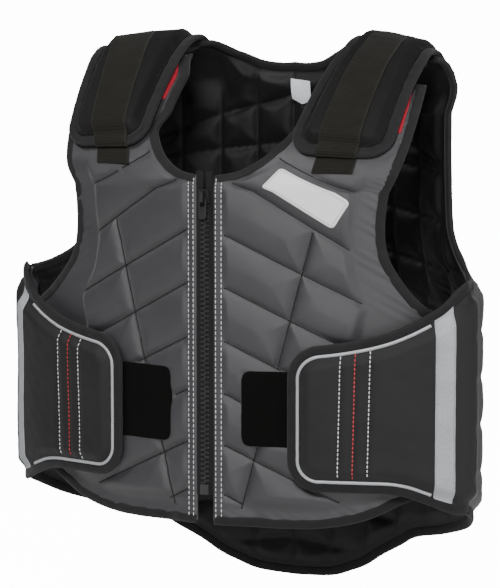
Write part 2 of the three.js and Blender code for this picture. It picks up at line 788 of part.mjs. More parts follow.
function flap(reach) {
  const front = frontSection.along(reach);
  const top = flapTop(reach);
  const bottom = flapBottom(reach);
  const upper = point(front, top[0].y);
  const lower = point(front, bottom[0].y);
  const outline = [
    [...top].reverse(),
    quarter(top[0], point(front, upper.y - flapCorner), upper),
    [point(front, upper.y - flapCorner), point(front, lower.y + flapCorner)],
    quarter(point(front, lower.y + flapCorner), bottom[0], lower),
    bottom,
  ];
  const path = walk(outline);
  const upperEdge = [...outline[1]].reverse().concat(top.slice(1));
  const lowerEdge = [...outline[3]].concat(bottom.slice(1));
  const rear = frontSection.total - clearance / 2;
  const columns = [bindingWidth, 12, 19, 32, 60].map((step) => front + step);
  columns.push(...[0.2, 0.4, 0.6, 0.75, 0.86, 0.94, 1].map((t) => mix(front + 60, rear, t)));
  const rows = [0, 0.06, 0.16, 0.5, 0.84, 0.94, 1];
  const grid = (grow) => rows.map((t) => columns.map((a) => {
    const set = bindingWidth;
    const b = mix(heightAt(upperEdge, a) - set, heightAt(lowerEdge, a) + set, t);
    const pad = fullness(path, point(a, b));
    return {
      a,
      b,
      top: flapRise + mix(marginCloth, flapPadding, pad) + grow,
      bottom: flapRise - grow,
    };
  }));
  const strip = () => {
    const middleAt = frontSection.total - stripSet;
    const across = [middleAt - stripWidth / 2, middleAt, middleAt + stripWidth / 2];
    return sheet(frontFace, [0.075, 0.14, 0.5, 0.86, 0.925].map((t) => across.map((a) => {
      const b = mix(heightAt(upperEdge, a), heightAt(lowerEdge, a), t);
      const face = flapRise + mix(marginCloth, flapPadding, fullness(path, point(a, b)));
      return { a, b, top: face + stripThickness, bottom: face - 2 };
    })));
  };
  const nodes = grid(0);
  return {
    body: cut(sheet(frontFace, nodes), [patchSheet(clearance)]),
    edge: cut(edging(frontFace, [
      ...[...nodes[0]].reverse(),
      ...nodes.slice(1).map((row) => row[0]),
      ...nodes[nodes.length - 1].slice(1),
    ], -1), [patchSheet(clearance)]),
    strip: cut(strip(), [sheet(frontFace, grid(clearance))]),
  };
}
const flapLeft = flap(reachLeft);
const flapRight = flap(reachRight);
const bothFlaps = [
  ['waist_flap', 'body', cloth],
  ['flap_binding', 'edge', bindingTape],
  ['reflective_strip', 'strip', silver],
];
for (const [name, piece, material] of bothFlaps) {
  add(`${name}_left`, flapLeft[piece], material);
  add(`${name}_right`, mirrored(flapRight[piece]), material);
}

// Red tape across a front panel's shoulder end
const edgeAt = (edge, h) => edge.reduce((best, p) => (
  Math.abs(p.y - h) < Math.abs(best.y - h) ? p : best
)).x;
for (const [name, side] of Object.entries(frontSides)) {
  const [inner, outer] = [neckEdge(side), armEdge(side)];
  const rows = [0, 0.33, 0.67, 1].map((t) => {
    const h = side.tabTop - redBelow - t * redLength;
    const from = edgeAt(inner, h) + redInset;
    const to = edgeAt(outer, h) - redInset;
    return [0, 0.33, 0.67, 1].map((share) => ({
      a: frontSection.along(mix(from, to, share)),
      b: h,
      top: redThickness,
      bottom: -1.5,
    }));
  });
  addSide('red_tab', name, cut(sheet(frontFace, rows), [frontCutters[name]]), red);
}

// Shoulder pads: from the back over the crest to the chest
function padEdges(reach) {
  const corner = (from, to, at) => quarter(from, to, at);
  const [front, rear] = [reach, -padRear];
  return walk([
    corner(
      point(padInner, rear + padCorner),
      point(padInner + padCorner, rear),
      point(padInner, rear),
    ),
    corner(
      point(padOuter - padCorner, rear),
      point(padOuter, rear + padCorner),
      point(padOuter, rear),
    ),
    [point(padOuter, rear + padCorner), point(padOuter, front - padCorner)],
    corner(
      point(padOuter, front - padCorner),
      point(padOuter - padCorner, front),
      point(padOuter, front),
    ),
    corner(
      point(padInner + padCorner, front),
      point(padInner, front - padCorner),
      point(padInner, front),
    ),
    [point(padInner, front - padCorner), point(padInner, rear + padCorner)],
  ]).slice(0, -1);
}

// Over the shoulder, slanting as the pads do
function padFace(x, q) {
  return shoulderFace(x - padSlant * Math.max(0, q - padSlantFrom), q);
}
padFace.outward = shoulderFace.outward;

// The pad's sewn rear end sinks on to the back panel
const sunk = (q) => (padRise - 0.1) * (1 - smooth((q + padRear - 2) / 25));

function pad(reach, strapLean, frontCutter) {
  const path = padEdges(reach);
  const loop = [...path, path[0]];
  const rows = [];
  const ends = [bindingWidth, 12, 19];
  rows.push(...ends.map((step) => step - padRear));
  rows.push(...[-0.6, -0.4, -0.25, -0.14, -0.05].map((share) => share * padRear));
  rows.push(...[0.02, 0.07, 0.13, 0.2, 0.31, 0.45, 0.63, 0.8].map((share) => share * reach));
  rows.push(...[...ends].reverse().map((step) => reach - step));
  const grid = (grow) => rows.map((q) => {
    const d = Math.min(q + padRear, reach - q);
    const inset = d < padCorner ? padCorner - Math.sqrt(padCorner ** 2 - (padCorner - d) ** 2) : 0;
    const low = padInner + bindingWidth + 0.8 * inset;
    const high = padOuter - bindingWidth - 0.8 * inset;
    return [0, 0.1, 0.2, 0.5, 0.8, 0.9, 1].map((t) => {
      const a = mix(low, high, t);
      const under = padRise - 0.3 * sunk(q);
      const full = fullness(loop, point(a, q));
      return {
        a,
        b: q,
        top: under + mix(marginCloth, shoulderPadding, full) + grow,
        bottom: under - grow,
      };
    });
  });
  const overEdge = bindingThickness / 2 - marginCloth / 2 + clearance;
  const strapMiddle = (q) => strapAcross - strapLean * (q - strapLeanFrom);
  const strapRow = (q) => [-0.5, 0, 0.5].map((share) => {
    const a = strapMiddle(q) + share * strapWidth;
    const face = padRise + mix(marginCloth, shoulderPadding, fullness(loop, point(a, q)));
    if (q > reach - bindingWidth - 4) {
      return { a, b: q, top: face + overEdge + tapeThickness, bottom: face + overEdge };
    }
    return { a, b: q, top: face + tapeThickness, bottom: face - 2.2 };
  });
  const strapRows = [0, 0.06, 0.13, 0.24, 0.38, 0.56, 0.74, 0.88, 0.94, 1]
    .map((t) => strapRow(mix(strapTop, reach - 0.5, t)));
  const catchRows = [0, 0.5, 1].map((t) => [-0.5, 0, 0.5].map((share) => {
    const q = reach + 1.5 + t * (catchLength - 14);
    return { a: strapMiddle(q) + share * strapWidth, b: q, top: tapeThickness, bottom: -3 };
  }));
  const nodes = grid(0);
  const edge = edging(padFace, [
    ...nodes[0],
    ...nodes.slice(1).map((row) => row[row.length - 1]),
    ...[...nodes[nodes.length - 1]].reverse().slice(1),
    ...nodes.slice(1, -1).reverse().map((row) => row[0]),
  ], -1, true);
  return {
    body: sheet(padFace, nodes),
    edge: cut(edge, [backCutter]),
    strap: cut(sheet(padFace, strapRows), [sheet(padFace, grid(clearance))]),
    catch: cut(sheet(padFace, catchRows), [frontCutter]),
  };
}
const padLeft = pad(padReachLeft, strapLeanLeft, frontCutters.left);
const padRight = pad(padReachRight, strapLeanRight, frontCutters.right);
const bothPads = [
  ['shoulder_pad', 'body', cloth],
  ['pad_binding', 'edge', bindingTape],
  ['shoulder_strap', 'strap', hookTape],
  ['strap_catch', 'catch', hookTape],
];
for (const [name, piece, material] of bothPads) {
  add(`${name}_left`, padLeft[piece], material);
  add(`${name}_right`, mirrored(padRight[piece]), material);
}

// Zip
const zipDeep = zipSet + marginCloth / 2; // outer face to the chain's middle
const zipY = -frontDepth + zipDeep;
function box(width, depth, height, x, y, z) {
  return new THREE.BoxGeometry(width, depth, height).translate(x, y, z);
}
const tapeTop = zipTop - 2;
const tapeInner = chainWidth / 2 + clearance;
const tapeOuter = zipGap - zipTapeSet;
addPair('zip_tape', box(
  tapeOuter - tapeInner,
  zipTapeThickness,
  tapeTop - zipBottom,
  (tapeOuter + tapeInner) / 2,
  zipY,
  (tapeTop + zipBottom) / 2,
), hookTape);
const postHeight = 4;
const chainTop = sliderTop - postHeight - clearance;
const chainBottom = zipBottom + boxHeight + clearance;
add('zip_chain', box(
  chainWidth,
  chainThickness,
  chainTop - chainBottom,
  0,
  zipY,
  (chainTop + chainBottom) / 2,
), plastic);
add('zip_box', box(
  chainWidth,
  chainThickness + 2,
  boxHeight,
  0,
  zipY,
  zipBottom + boxHeight / 2,
), plastic);

const plateSet = chainThickness / 2 + clearance;
const sliderMiddle = sliderTop - sliderLength / 2;
const plateY = zipY - plateSet - sliderPlate;
const crownMiddle = sliderTop - 2 - crownLength / 2;
const crownFront = plateY - crownHeight;
const eyeBar = pullThickness;
const pivotZ = crownMiddle - crownLength / 2 + crownBar + clearance + eyeBar / 2;
const pivotY = plateY - (crownHeight - crownBar) / 2;
const slider = join([
  box(sliderWidth, sliderPlate, sliderLength, 0, plateY + sliderPlate / 2, sliderMiddle),
  box(sliderWidth, sliderPlate, sliderLength, 0, zipY + plateSet + sliderPlate / 2, sliderMiddle),
  box(chainWidth - 1, 2 * plateSet + 1, postHeight, 0, zipY, sliderTop - postHeight / 2),
  box(crownWidth, crownBar, crownLength, 0, crownFront + crownBar / 2, crownMiddle),
  ...[1, -1].map((end) => box(
    crownWidth,
    crownHeight + 0.5,
    crownBar,
    0,
    plateY - crownHeight / 2 + 0.25,
    crownMiddle + (end * (crownLength - crownBar)) / 2,
  )),
]);
add('zip_slider', slider, plastic);

const pullShape = new THREE.Shape();
const pullTop = eyeBar / 2;
const pullEnd = pullTop - pullLength;
pullShape.moveTo(-pullWidth / 2, pullTop);
pullShape.lineTo(-pullWidth / 2, pullEnd + 3);
pullShape.quadraticCurveTo(-pullWidth / 2, pullEnd, 0, pullEnd);
pullShape.quadraticCurveTo(pullWidth / 2, pullEnd, pullWidth / 2, pullEnd + 3);
pullShape.lineTo(pullWidth / 2, pullTop);
pullShape.closePath();
const eye = new THREE.Path();
const eyeHalf = crownWidth / 2 + 0.8;
eye.moveTo(-eyeHalf, -eyeBar / 2);
eye.lineTo(eyeHalf, -eyeBar / 2);
eye.lineTo(eyeHalf, -eyeBar / 2 - pullEye);
eye.lineTo(-eyeHalf, -eyeBar / 2 - pullEye);
eye.closePath();
pullShape.holes.push(eye);
const pull = new THREE.ExtrudeGeometry(pullShape, {
  depth: pullThickness,
  bevelEnabled: false,
  curveSegments: 6,
});
pull.translate(0, 0, -pullThickness / 2).rotateX(Math.PI / 2).translate(0, pivotY, pivotZ);
add('zip_pull', toGeometry(toManifold(mergeVertices(pull.deleteAttribute('normal').deleteAttribute('uv')))), plastic);

// Chest badge, a bare plate on the wearer's left
const badgeRows = [-0.5, 0, 0.5].map((v) => [-0.5, -0.2, 0.1, 0.5].map((u) => {
  const x = badgeAcross + u * badgeLength * Math.cos(badgeTilt) + v * badgeHeight * Math.sin(badgeTilt);
  const h = badgeHeightAt - u * badgeLength * Math.sin(badgeTilt) + v * badgeHeight * Math.cos(badgeTilt);
  return {
    a: frontSection.along(x),
    b: h,
    top: badgeThickness,
    bottom: -2.5,
  };
}));
add('chest_badge', cut(sheet(frontFace, badgeRows), [frontCutters.left]), white);

// Care label inside the back's neck
const labelRows = [0, 0.5, 1].map((t) => [-0.5, 0, 0.5].map((share) => ({
  a: labelAcross + share * labelWidth,
  b: labelTop - t * labelLength - (share === 0 ? t * labelPoint : 0),
  top: -backPadding + 4,
  bottom: -backPadding - labelThickness,
})));
add('care_label', cut(sheet(backFace, labelRows), [backCutter]), white);

export default vest;
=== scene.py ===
import math

import bpy
import numpy as np
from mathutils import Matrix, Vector


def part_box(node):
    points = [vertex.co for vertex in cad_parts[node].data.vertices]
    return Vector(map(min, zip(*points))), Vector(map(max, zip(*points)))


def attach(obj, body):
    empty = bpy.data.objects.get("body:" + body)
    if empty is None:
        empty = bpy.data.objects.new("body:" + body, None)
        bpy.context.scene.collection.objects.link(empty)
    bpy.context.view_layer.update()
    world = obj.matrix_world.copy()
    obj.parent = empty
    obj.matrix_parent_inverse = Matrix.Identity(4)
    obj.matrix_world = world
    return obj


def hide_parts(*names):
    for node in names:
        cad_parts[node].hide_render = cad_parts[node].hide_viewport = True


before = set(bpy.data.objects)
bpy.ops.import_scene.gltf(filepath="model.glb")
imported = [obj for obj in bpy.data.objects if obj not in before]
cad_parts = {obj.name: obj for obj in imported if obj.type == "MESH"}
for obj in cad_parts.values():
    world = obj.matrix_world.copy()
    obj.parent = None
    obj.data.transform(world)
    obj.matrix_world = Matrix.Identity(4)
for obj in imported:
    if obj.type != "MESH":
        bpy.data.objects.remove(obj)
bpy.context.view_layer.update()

bl_info = {
    "name": "Body protector looks",
    "version": (1, 0, 0),
    "blender": (4, 5, 0),
    "location": "3D View > Sidebar > Body protector",
    "description": "Builds the cloth, padding, tapes, zip and stitching of a riding body protector",
    "category": "Object",
}

MM = 0.001

# Trunk and shoulder form, as the solids have it, in millimetres
HALF_WIDTH = 236.0
FRONT_DEPTH = 113.0
BACK_DEPTH = 118.0
WIDEST_SET = 30.0
NARROWING = 16.0
FLAP_RISE = 2.6
FLAP_PADDING = 12.0
SIDE_WIDTH = HALF_WIDTH + FLAP_RISE + FLAP_PADDING
HEM_DROP = 455.0
TAIL_DROP = 546.0
CHEST_TURN = -130.0
BACK_TURN = -60.0
FRONT_CLIMB = 215.0
BACK_CLIMB = 110.0
FRONT_CREST = CHEST_TURN + FRONT_CLIMB
BACK_CREST = BACK_TURN + BACK_CLIMB
CREST = {"inner": 80.0, "back": 66.0, "sweep": 0.40, "height": 10.0, "fall": 0.13}
SHOULDER_END = {
    1: {"top": 12.0, "show": 0.0, "set": 0.0},
    -1: {"top": 38.0, "show": 12.0, "set": 9.0},
}
ZIP_TOP = -109.0
ZIP_GAP = 9.0
ZIP_SET = 1.0
ZIP_LEVEL = 40.0
FRONT_PADDING = 18.0
BACK_PADDING = 22.0
SHOULDER_PADDING = 14.0
MARGIN = 4.4
ZIP_Y = -FRONT_DEPTH + ZIP_SET + MARGIN / 2
BINDING = 9.0
PAD_RISE = 2.6
PAD_INNER = 86.0
PAD_OUTER = 183.0
PAD_REAR = 95.0
PAD_REACH = {1: 168.0, -1: 163.0}
PAD_SLANT = 0.08
PAD_SLANT_FROM = 40.0
PAD_CORNER = 24.0
FLAP_REACH = {1: 84.0, -1: 94.0}
FLAP_CORNER = 30.0
SIDE_TOP = -0.472 * HEM_DROP
SIDE_BOTTOM = -0.967 * HEM_DROP
STRAP_ACROSS = 134.0
STRAP_LEAN = {1: 0.0, -1: 0.13}
STRAP_LEAN_FROM = 100.0
# Brightness of floor and backdrop to the camera, and of the room's own light on the vest
BACKDROP = 14.0
ROOM_LIGHT = 0.09
BADGE = {"length": 80.0, "height": 31.0, "across": 99.0, "up": -131.0, "tilt": 0.55}
SIDES = {"left": 1, "right": -1}


def smooth(t):
    t = np.clip(t, 0.0, 1.0)
    return t * t * (3 - 2 * t)


def mix(a, b, t):
    return a + (b - a) * t


def bump(distance, width):
    return np.exp(-((distance / width) ** 2))


class Section:
    """Half of a plan section, read by arc length or by distance from the middle."""

    def __init__(self, width, depth, spread, rounding, sign):
        angle = np.linspace(0, math.pi / 2, 1601)
        self.x = width * np.sin(angle) ** (2 / spread)
        reach = depth + sign * WIDEST_SET
        self.y = -WIDEST_SET + sign * reach * np.cos(angle) ** (2 / rounding)
        steps = np.hypot(np.diff(self.x), np.diff(self.y))
        self.s = np.concatenate([[0.0], np.cumsum(steps)])
        self.total = float(self.s[-1])

    def at(self, s):
        x = np.interp(np.abs(s), self.s, self.x) * np.where(np.asarray(s) < 0, -1.0, 1.0)
        return x, np.interp(np.abs(s), self.s, self.y)

    def along(self, x):
        return np.interp(np.abs(x), self.x, self.s) * np.where(np.asarray(x) < 0, -1.0, 1.0)


FRONT = Section(HALF_WIDTH, FRONT_DEPTH, 1.25, 1.8, -1)
LOWER = Section(SIDE_WIDTH, BACK_DEPTH, 2.1, 2.0, 1)
UPPER = Section(SIDE_WIDTH - NARROWING, BACK_DEPTH, 2.1, 2.0, 1)


def climb(x, y, turn, t, level):
    over = np.abs(x) - CREST["inner"]
    u = 1 - t
    rise = 3 * u * u * t * 0.3 + 3 * u * t * t + t**3
    run = 3 * u * t * t * (1 - level) + t**3
    return (
        mix(y, CREST["back"] - CREST["sweep"] * over, run),
        mix(turn, CREST["height"] - CREST["fall"] * over, rise),
    )


def front_face(s, h):
    s, h = np.broadcast_arrays(np.asarray(s, float), np.asarray(h, float))
    x, y = FRONT.at(s)
    t = np.maximum(0.0, (h - CHEST_TURN) / FRONT_CLIMB)
    cy, cz = climb(x, y, CHEST_TURN, t, 0.3)
    below = h <= CHEST_TURN
    return np.stack([x, np.where(below, y, cy), np.where(below, h, cz)], -1)


def back_face(s, h):
    s, h = np.broadcast_arrays(np.asarray(s, float), np.asarray(h, float))
    narrow = smooth((h / HEM_DROP + 0.53) / 0.17)
    xl, yl = LOWER.at(s)
    xu, yu = UPPER.at(s * UPPER.total / LOWER.total)
    x = mix(xl, xu, narrow)
    y = mix(yl, yu, narrow)
    t = np.maximum(0.0, (h - BACK_TURN) / BACK_CLIMB)
    cy, cz = climb(x, y, BACK_TURN, t, 0.65)
    below = h <= BACK_TURN
    return np.stack([x, np.where(below, y, cy), np.where(below, h, cz)], -1)


def shoulder_face(x, q):
    x, q = np.broadcast_arrays(np.asarray(x, float), np.asarray(q, float))
    front = front_face(FRONT.along(x), FRONT_CREST - np.maximum(q, 0))
    back = back_face(UPPER.along(x) * LOWER.total / UPPER.total, BACK_CREST + np.minimum(q, 0))
    return np.where((q >= 0)[..., None], front, back)


def pad_face(x, q):
    return shoulder_face(x - PAD_SLANT * np.maximum(0, q - PAD_SLANT_FROM), q)


OUTWARD = {front_face: 1.0, back_face: -1.0, shoulder_face: -1.0, pad_face: -1.0}


def lift(face, a, b, distance):
    """Points of a face moved along its normal, in millimetres."""
    a, b, distance = np.broadcast_arrays(
        np.asarray(a, float), np.asarray(b, float), np.asarray(distance, float)
    )
    step = 1.2
    across = face(a + step, b) - face(a - step, b)
    up = face(a, b + step) - face(a, b - step)
    normal = np.cross(across, up)
    normal /= np.linalg.norm(normal, axis=-1, keepdims=True) + 1e-12
    return face(a, b) + normal * (OUTWARD[face] * distance)[..., None]


def spline(points, each=16):
    """A uniform Catmull-Rom curve through points."""
    p = np.array(points, float)
    p = np.vstack([p[:1], p, p[-1:]])
    out = []
    for i in range(1, len(p) - 2):
        t = np.linspace(0, 1, each, endpoint=False)[:, None]
        v0 = (p[i + 1] - p[i - 1]) / 2
        v1 = (p[i + 2] - p[i]) / 2
        a = 2 * p[i] - 2 * p[i + 1] + v0 + v1
        b = -3 * p[i] + 3 * p[i + 1] - 2 * v0 - v1
        out.append(a * t**3 + b * t**2 + v0 * t + p[i])
    out.append(p[-2:-1])
    return np.vstack(out)


def resample(path, step, loop=False):
    path = np.asarray(path, float)
    if loop:
        path = np.vstack([path, path[:1]])
    run = np.hypot(*np.diff(path, axis=0).T)
    keep = np.concatenate([[True], run > 1e-6])
    path = path[keep]
    s = np.concatenate([[0.0], np.cumsum(np.hypot(*np.diff(path, axis=0).T))])
    count = max(2, int(round(s[-1] / step)) + 1)
    t = np.linspace(0, s[-1], count)
    out = np.stack([np.interp(t, s, path[:, 0]), np.interp(t, s, path[:, 1])], -1)
    return out[:-1] if loop else out


def distance_to(path, a, b):
    """Distance of many points from a path."""
    shape = np.shape(a)
    p = np.stack([np.ravel(a), np.ravel(b)], -1)
    best = np.full(len(p), 1e9)
    for start, end in zip(path[:-1], path[1:]):
        run = end - start
        size = float(run @ run) or 1.0
        t = np.clip((p - start) @ run / size, 0, 1)
        gap = p - start - t[:, None] * run
        best = np.minimum(best, np.hypot(gap[:, 0], gap[:, 1]))
    return best.reshape(shape)


def ripple(a, b, wavelength, seed, layers=7):
    """Soft uneven waves, between about -1 and 1."""
    rng = np.random.default_rng(seed)
    total = np.zeros(np.broadcast(a, b).shape)
    for _ in range(layers):
        angle = rng.uniform(0, 2 * math.pi)
        size = wavelength * rng.uniform(0.7, 1.5)
        phase = rng.uniform(0, 2 * math.pi)
        wave = (a * math.cos(angle) + b * math.sin(angle)) * 2 * math.pi / size
        total = total + np.sin(wave + phase)
    return total / math.sqrt(layers * 1.6)


# Outlines. Shares of the half width and the hem's drop, as on the solids.
def shares(points, width=HALF_WIDTH, drop=HEM_DROP):
    return spline([(a * width, b * drop) for a, b in points])


def neck_edge(side):
    end = SHOULDER_END[side]
    path = shares([
        (0.338, end["top"] / HEM_DROP), (0.337, -0.035), (0.328, -0.09), (0.302, -0.131),
        (0.258, -0.168), (0.205, -0.199), (0.13, -0.226), (ZIP_GAP / HALF_WIDTH, ZIP_TOP / HEM_DROP),
    ])
    out = smooth((path[:, 1] + 60) / 25) * smooth((end["top"] - path[:, 1]) / 40)
    return path - np.stack([end["show"] * out, 0 * out], -1)


def arm_edge(side):
    end = SHOULDER_END[side]
    path = shares([
        (0.80, end["top"] / HEM_DROP), (0.805, -0.05), (0.797, -0.14), (0.772, -0.22), (0.738, -0.30),
        (0.728, -0.37), (0.742, -0.42), (0.79, -0.468), (0.87, -0.52), (0.95, -0.548), (0.985, -0.556),
    ])
    back = end["set"] * smooth((path[:, 1] + 250) / 50)
    return path - np.stack([back, 0 * back], -1)


NECK = {side: neck_edge(side) for side in (1, -1)}
ARM = {side: arm_edge(side) for side in (1, -1)}
HEM = shares([
    (0.985, -0.905), (0.95, -0.912), (0.80, -0.945), (0.67, -0.978), (0.52, -0.997),
    (0.35, -1.003), (ZIP_GAP / HALF_WIDTH, -1.0),
])


def back_outline(points):
    return spline([(share * LOWER.total, up) for share, up in points])


BACK_NECK = back_outline([
    (0, -4), (0.05, -3), (0.118, 4), (0.171, 19), (0.215, 36), (0.245, 47), (0.262, BACK_CREST),
])
BACK_ARM = back_outline([
    (0.655, BACK_CREST), (0.69, 25), (0.71, 0), (0.72, -40), (0.72, -90), (0.73, -140),
    (0.75, -175), (0.80, -199), (0.88, -211), (0.95, SIDE_TOP), (1, SIDE_TOP),
])
TAIL = back_outline([
    (1, SIDE_BOTTOM), (0.93, -0.985 * HEM_DROP), (0.80, -0.85 * TAIL_DROP),
    (0.62, -0.879 * TAIL_DROP), (0.48, -0.897 * TAIL_DROP), (0.41, -0.918 * TAIL_DROP),
    (0.335, -0.941 * TAIL_DROP), (0.27, -0.965 * TAIL_DROP), (0.21, -0.98 * TAIL_DROP),
    (0.13, -0.995 * TAIL_DROP), (0, -TAIL_DROP),
])

# Quilting seams of the front: height at the middle, fall towards the side
SEAMS = {
    1: [(-47, 0.566), (-101, 0.6), (-163, 0.482), (-214, 0.477), (-266, 0.482), (-317, 0.48),
        (-367.5, 0.47), (-415, 0.5)],
    -1: [(-33, 0.69), (-93, 0.63), (-157, 0.53), (-209, 0.52), (-262.5, 0.486), (-314, 0.48),
         (-365, 0.48), (-412, 0.5)],
}
CROSS = (149.0, 0.256)
PAD_EDGE = np.array([
    (60, 176), (0, 172), (-60, 166), (-100, 158), (-139, 148), (-186, 144), (-215, 149),
    (-241, 158), (-268, 151), (-310, 152), (-340, 172), (-460, 196),
], float)


def interp_by(table, value):
    table = table[np.argsort(table[:, 0])]
    return np.interp(value, table[:, 0], table[:, 1])


def level_margin(x, h):
    """Height of the unpadded cloth's outer face: level with the zip beside it, sunk elsewhere."""
    tab = smooth((h - CHEST_TURN) / 40)
    level = smooth((ZIP_GAP + 1.5 + ZIP_LEVEL - x) / ZIP_LEVEL)
    return -mix((FRONT_PADDING - MARGIN) / 2, ZIP_SET, level) * (1 - tab)


def front_fill(x, h, side):
    """Share of the full padding at a place on a front panel."""
    neck = distance_to(NECK[side][::4], x, h)
    arm = distance_to(ARM[side][::4], x, h)
    hem = distance_to(HEM[::4], x, h)
    inner = np.minimum(neck, np.where(h < ZIP_TOP - 2, x - ZIP_GAP + 1.5, 99))
    fill = smooth((inner - 9.0) / 8)
    rim = np.minimum(arm, hem)
    outer = np.minimum(interp_by(PAD_EDGE, h) - (9 if side < 0 else 0) * smooth((h + 250) / 50) - x, arm - 12)
    return fill * smooth(outer / 11) * smooth((hem - 16) / 16), rim


def front_seams(x, h, side, seed):
    """Distance from the nearest seam, and the puckers beside the seams."""
    seam = np.full(np.shape(x), 99.0)
    pucker = np.zeros(np.shape(x))
    for k, (start, fall) in enumerate(SEAMS[side]):
        away = np.abs(h + fall * x - start) / math.hypot(1, fall)
        along = (x - fall * h) / math.hypot(1, fall)
        seam = np.minimum(seam, away)
        pucker += np.exp(-away / 6) * ripple(along, away * 0.2, 10, seed + 31 * k)
    start, lean = CROSS
    away = np.abs(x - start - lean * h) / math.hypot(1, lean)
    upper, fall = SEAMS[side][1]
    away = away + 60 * smooth((h + fall * x - upper - 1) / 6)
    pucker += np.exp(-away / 6) * ripple(h, away * 0.2, 10, seed + 17)
    return np.minimum(seam, away), pucker


def pressed(x, h, side):
    """Where a badge, patch, tape or shoulder pad lies on the panel and holds it flat."""
    flat = smooth((h + 72) / 8)
    flat = np.maximum(flat, smooth((h + 108) / 5) * smooth((26 - np.abs(x - 126)) / 5))
    patch = smooth((x - 34) / 6) * smooth((150 - x) / 6)
    flat = np.maximum(flat, patch * smooth((h + 379) / 6) * smooth((-300 - h) / 6))
    if side > 0:
        dx, dh = x - BADGE["across"], h - BADGE["up"]
        cos, sin = math.cos(BADGE["tilt"]), math.sin(BADGE["tilt"])
        u, v = dx * cos - dh * sin, dx * sin + dh * cos
        inside = smooth((BADGE["length"] / 2 + 4 - np.abs(u)) / 6)
        inside = inside * smooth((BADGE["height"] / 2 + 4 - np.abs(v)) / 6)
        flat = np.maximum(flat, inside)
    return flat


def front_top(x, h, side):
    seed = 8 if side > 0 else 3
    fill, rim = front_fill(x, h, side)
    seam, pucker = front_seams(x, h, side, seed)
    tab = smooth((h - CHEST_TURN) / 40)
    gather = np.exp(-rim / 16) * ripple(h + 0.6 * x, rim * 0.15, 9, seed + 5)
    loose = ripple(x, h, 52, seed + 9) * 0.7 + ripple(x, h, 21, seed + 11) * 0.2
    soft = np.sqrt(seam**2 + 0.6) - 0.7
    quilt = 2.1 - 4.8 * np.exp(-soft / 10.0) - 2.4 * np.exp(-soft / 2.6)
    top = mix(level_margin(x, h), 0.0, fill) + fill * (1 - 0.7 * tab) * quilt
    top = top + 0.24 * pucker * fill + 0.5 * gather * (1 - fill) + loose * (0.2 + 0.4 * fill)
    held = pressed(x, h, side)
    return mix(top, np.clip(top, -1.6, 0.3), held)


def front_bottom(x, h, side):
    fill, _ = front_fill(x, h, side)
    seam, _ = front_seams(x, h, side, 1)
    tab = smooth((h - CHEST_TURN) / 40)
    deep = mix(-FRONT_PADDING, -9.0, tab)
    return mix(level_margin(x, h) - MARGIN, deep, fill) + 2.6 * bump(seam, 9) * fill * (1 - tab)


# Meshes
def make_mesh(name, vertices, quads, uv=None, marks=None, smooth_faces=True):
    mesh = bpy.data.meshes.new(name)
    vertices = np.asarray(vertices, np.float32) * MM
    quads = np.asarray(quads, np.int32)
    mesh.vertices.add(len(vertices))
    mesh.vertices.foreach_set("co", vertices.ravel())
    mesh.loops.add(quads.size)
    mesh.loops.foreach_set("vertex_index", quads.ravel())
    mesh.polygons.add(len(quads))
    mesh.polygons.foreach_set("loop_start", np.arange(0, quads.size, quads.shape[1], dtype=np.int32))
    mesh.polygons.foreach_set("use_smooth", np.full(len(quads), smooth_faces))
    if uv is not None:
        layer = mesh.uv_layers.new(name="cloth")
        layer.data.foreach_set("uv", (np.asarray(uv, np.float32)[quads.ravel()] * MM).ravel())
    if marks is not None:
        mesh.polygons.foreach_set("material_index", np.asarray(marks, np.int32))
    mesh.update(calc_edges=True)
    item = bpy.data.objects.new(name, mesh)
    bpy.context.scene.collection.objects.link(item)
    return item


class Cloth:
    """Collects grids and tubes into one mesh."""

    def __init__(self):
        self.vertices = []
        self.quads = []
        self.uv = []
        self.marks = []
        self.count = 0

    def take(self, points, quads, uv, mark=0):
        points = np.asarray(points, float).reshape(-1, 3)
        quads = np.asarray(quads)
        self.vertices.append(points)
        self.quads.append(quads + self.count)
        self.uv.append(np.asarray(uv, float).reshape(-1, 2))
        self.marks.append(np.full(len(quads), mark))
        self.count += len(points)

    def grid(self, points, uv, flip=False, loop=False, mark=0):
        rows, columns = points.shape[:2]
        index = np.arange(rows * columns).reshape(rows, columns)
        nxt = np.roll(index, -1, axis=1) if loop else index[:, 1:]
        cur = index if loop else index[:, :-1]
        quads = np.stack([cur[:-1], nxt[:-1], nxt[1:], cur[1:]], -1).reshape(-1, 4)
        self.take(points, quads[:, ::-1] if flip else quads, uv, mark)

    def block(self, low, high, mark=0):
        """A plain box between two corners."""
        (x0, y0, z0), (x1, y1, z1) = low, high
        points = [(x, y, z) for z in (z0, z1) for y in (y0, y1) for x in (x0, x1)]
        quads = [(0, 2, 3, 1), (4, 5, 7, 6), (0, 1, 5, 4), (2, 6, 7, 3), (0, 4, 6, 2), (1, 3, 7, 5)]
        self.take(points, quads, [(p[0], p[2]) for p in points], mark)

    def build(self, name, mirror=False, smooth_faces=True):
        vertices = np.vstack(self.vertices)
        quads = np.vstack(self.quads)
        if mirror:
            vertices = vertices * np.array([-1.0, 1.0, 1.0])
            quads = quads[:, ::-1]
        marks = np.concatenate(self.marks)
        return make_mesh(name, vertices, quads, np.vstack(self.uv), marks, smooth_faces)


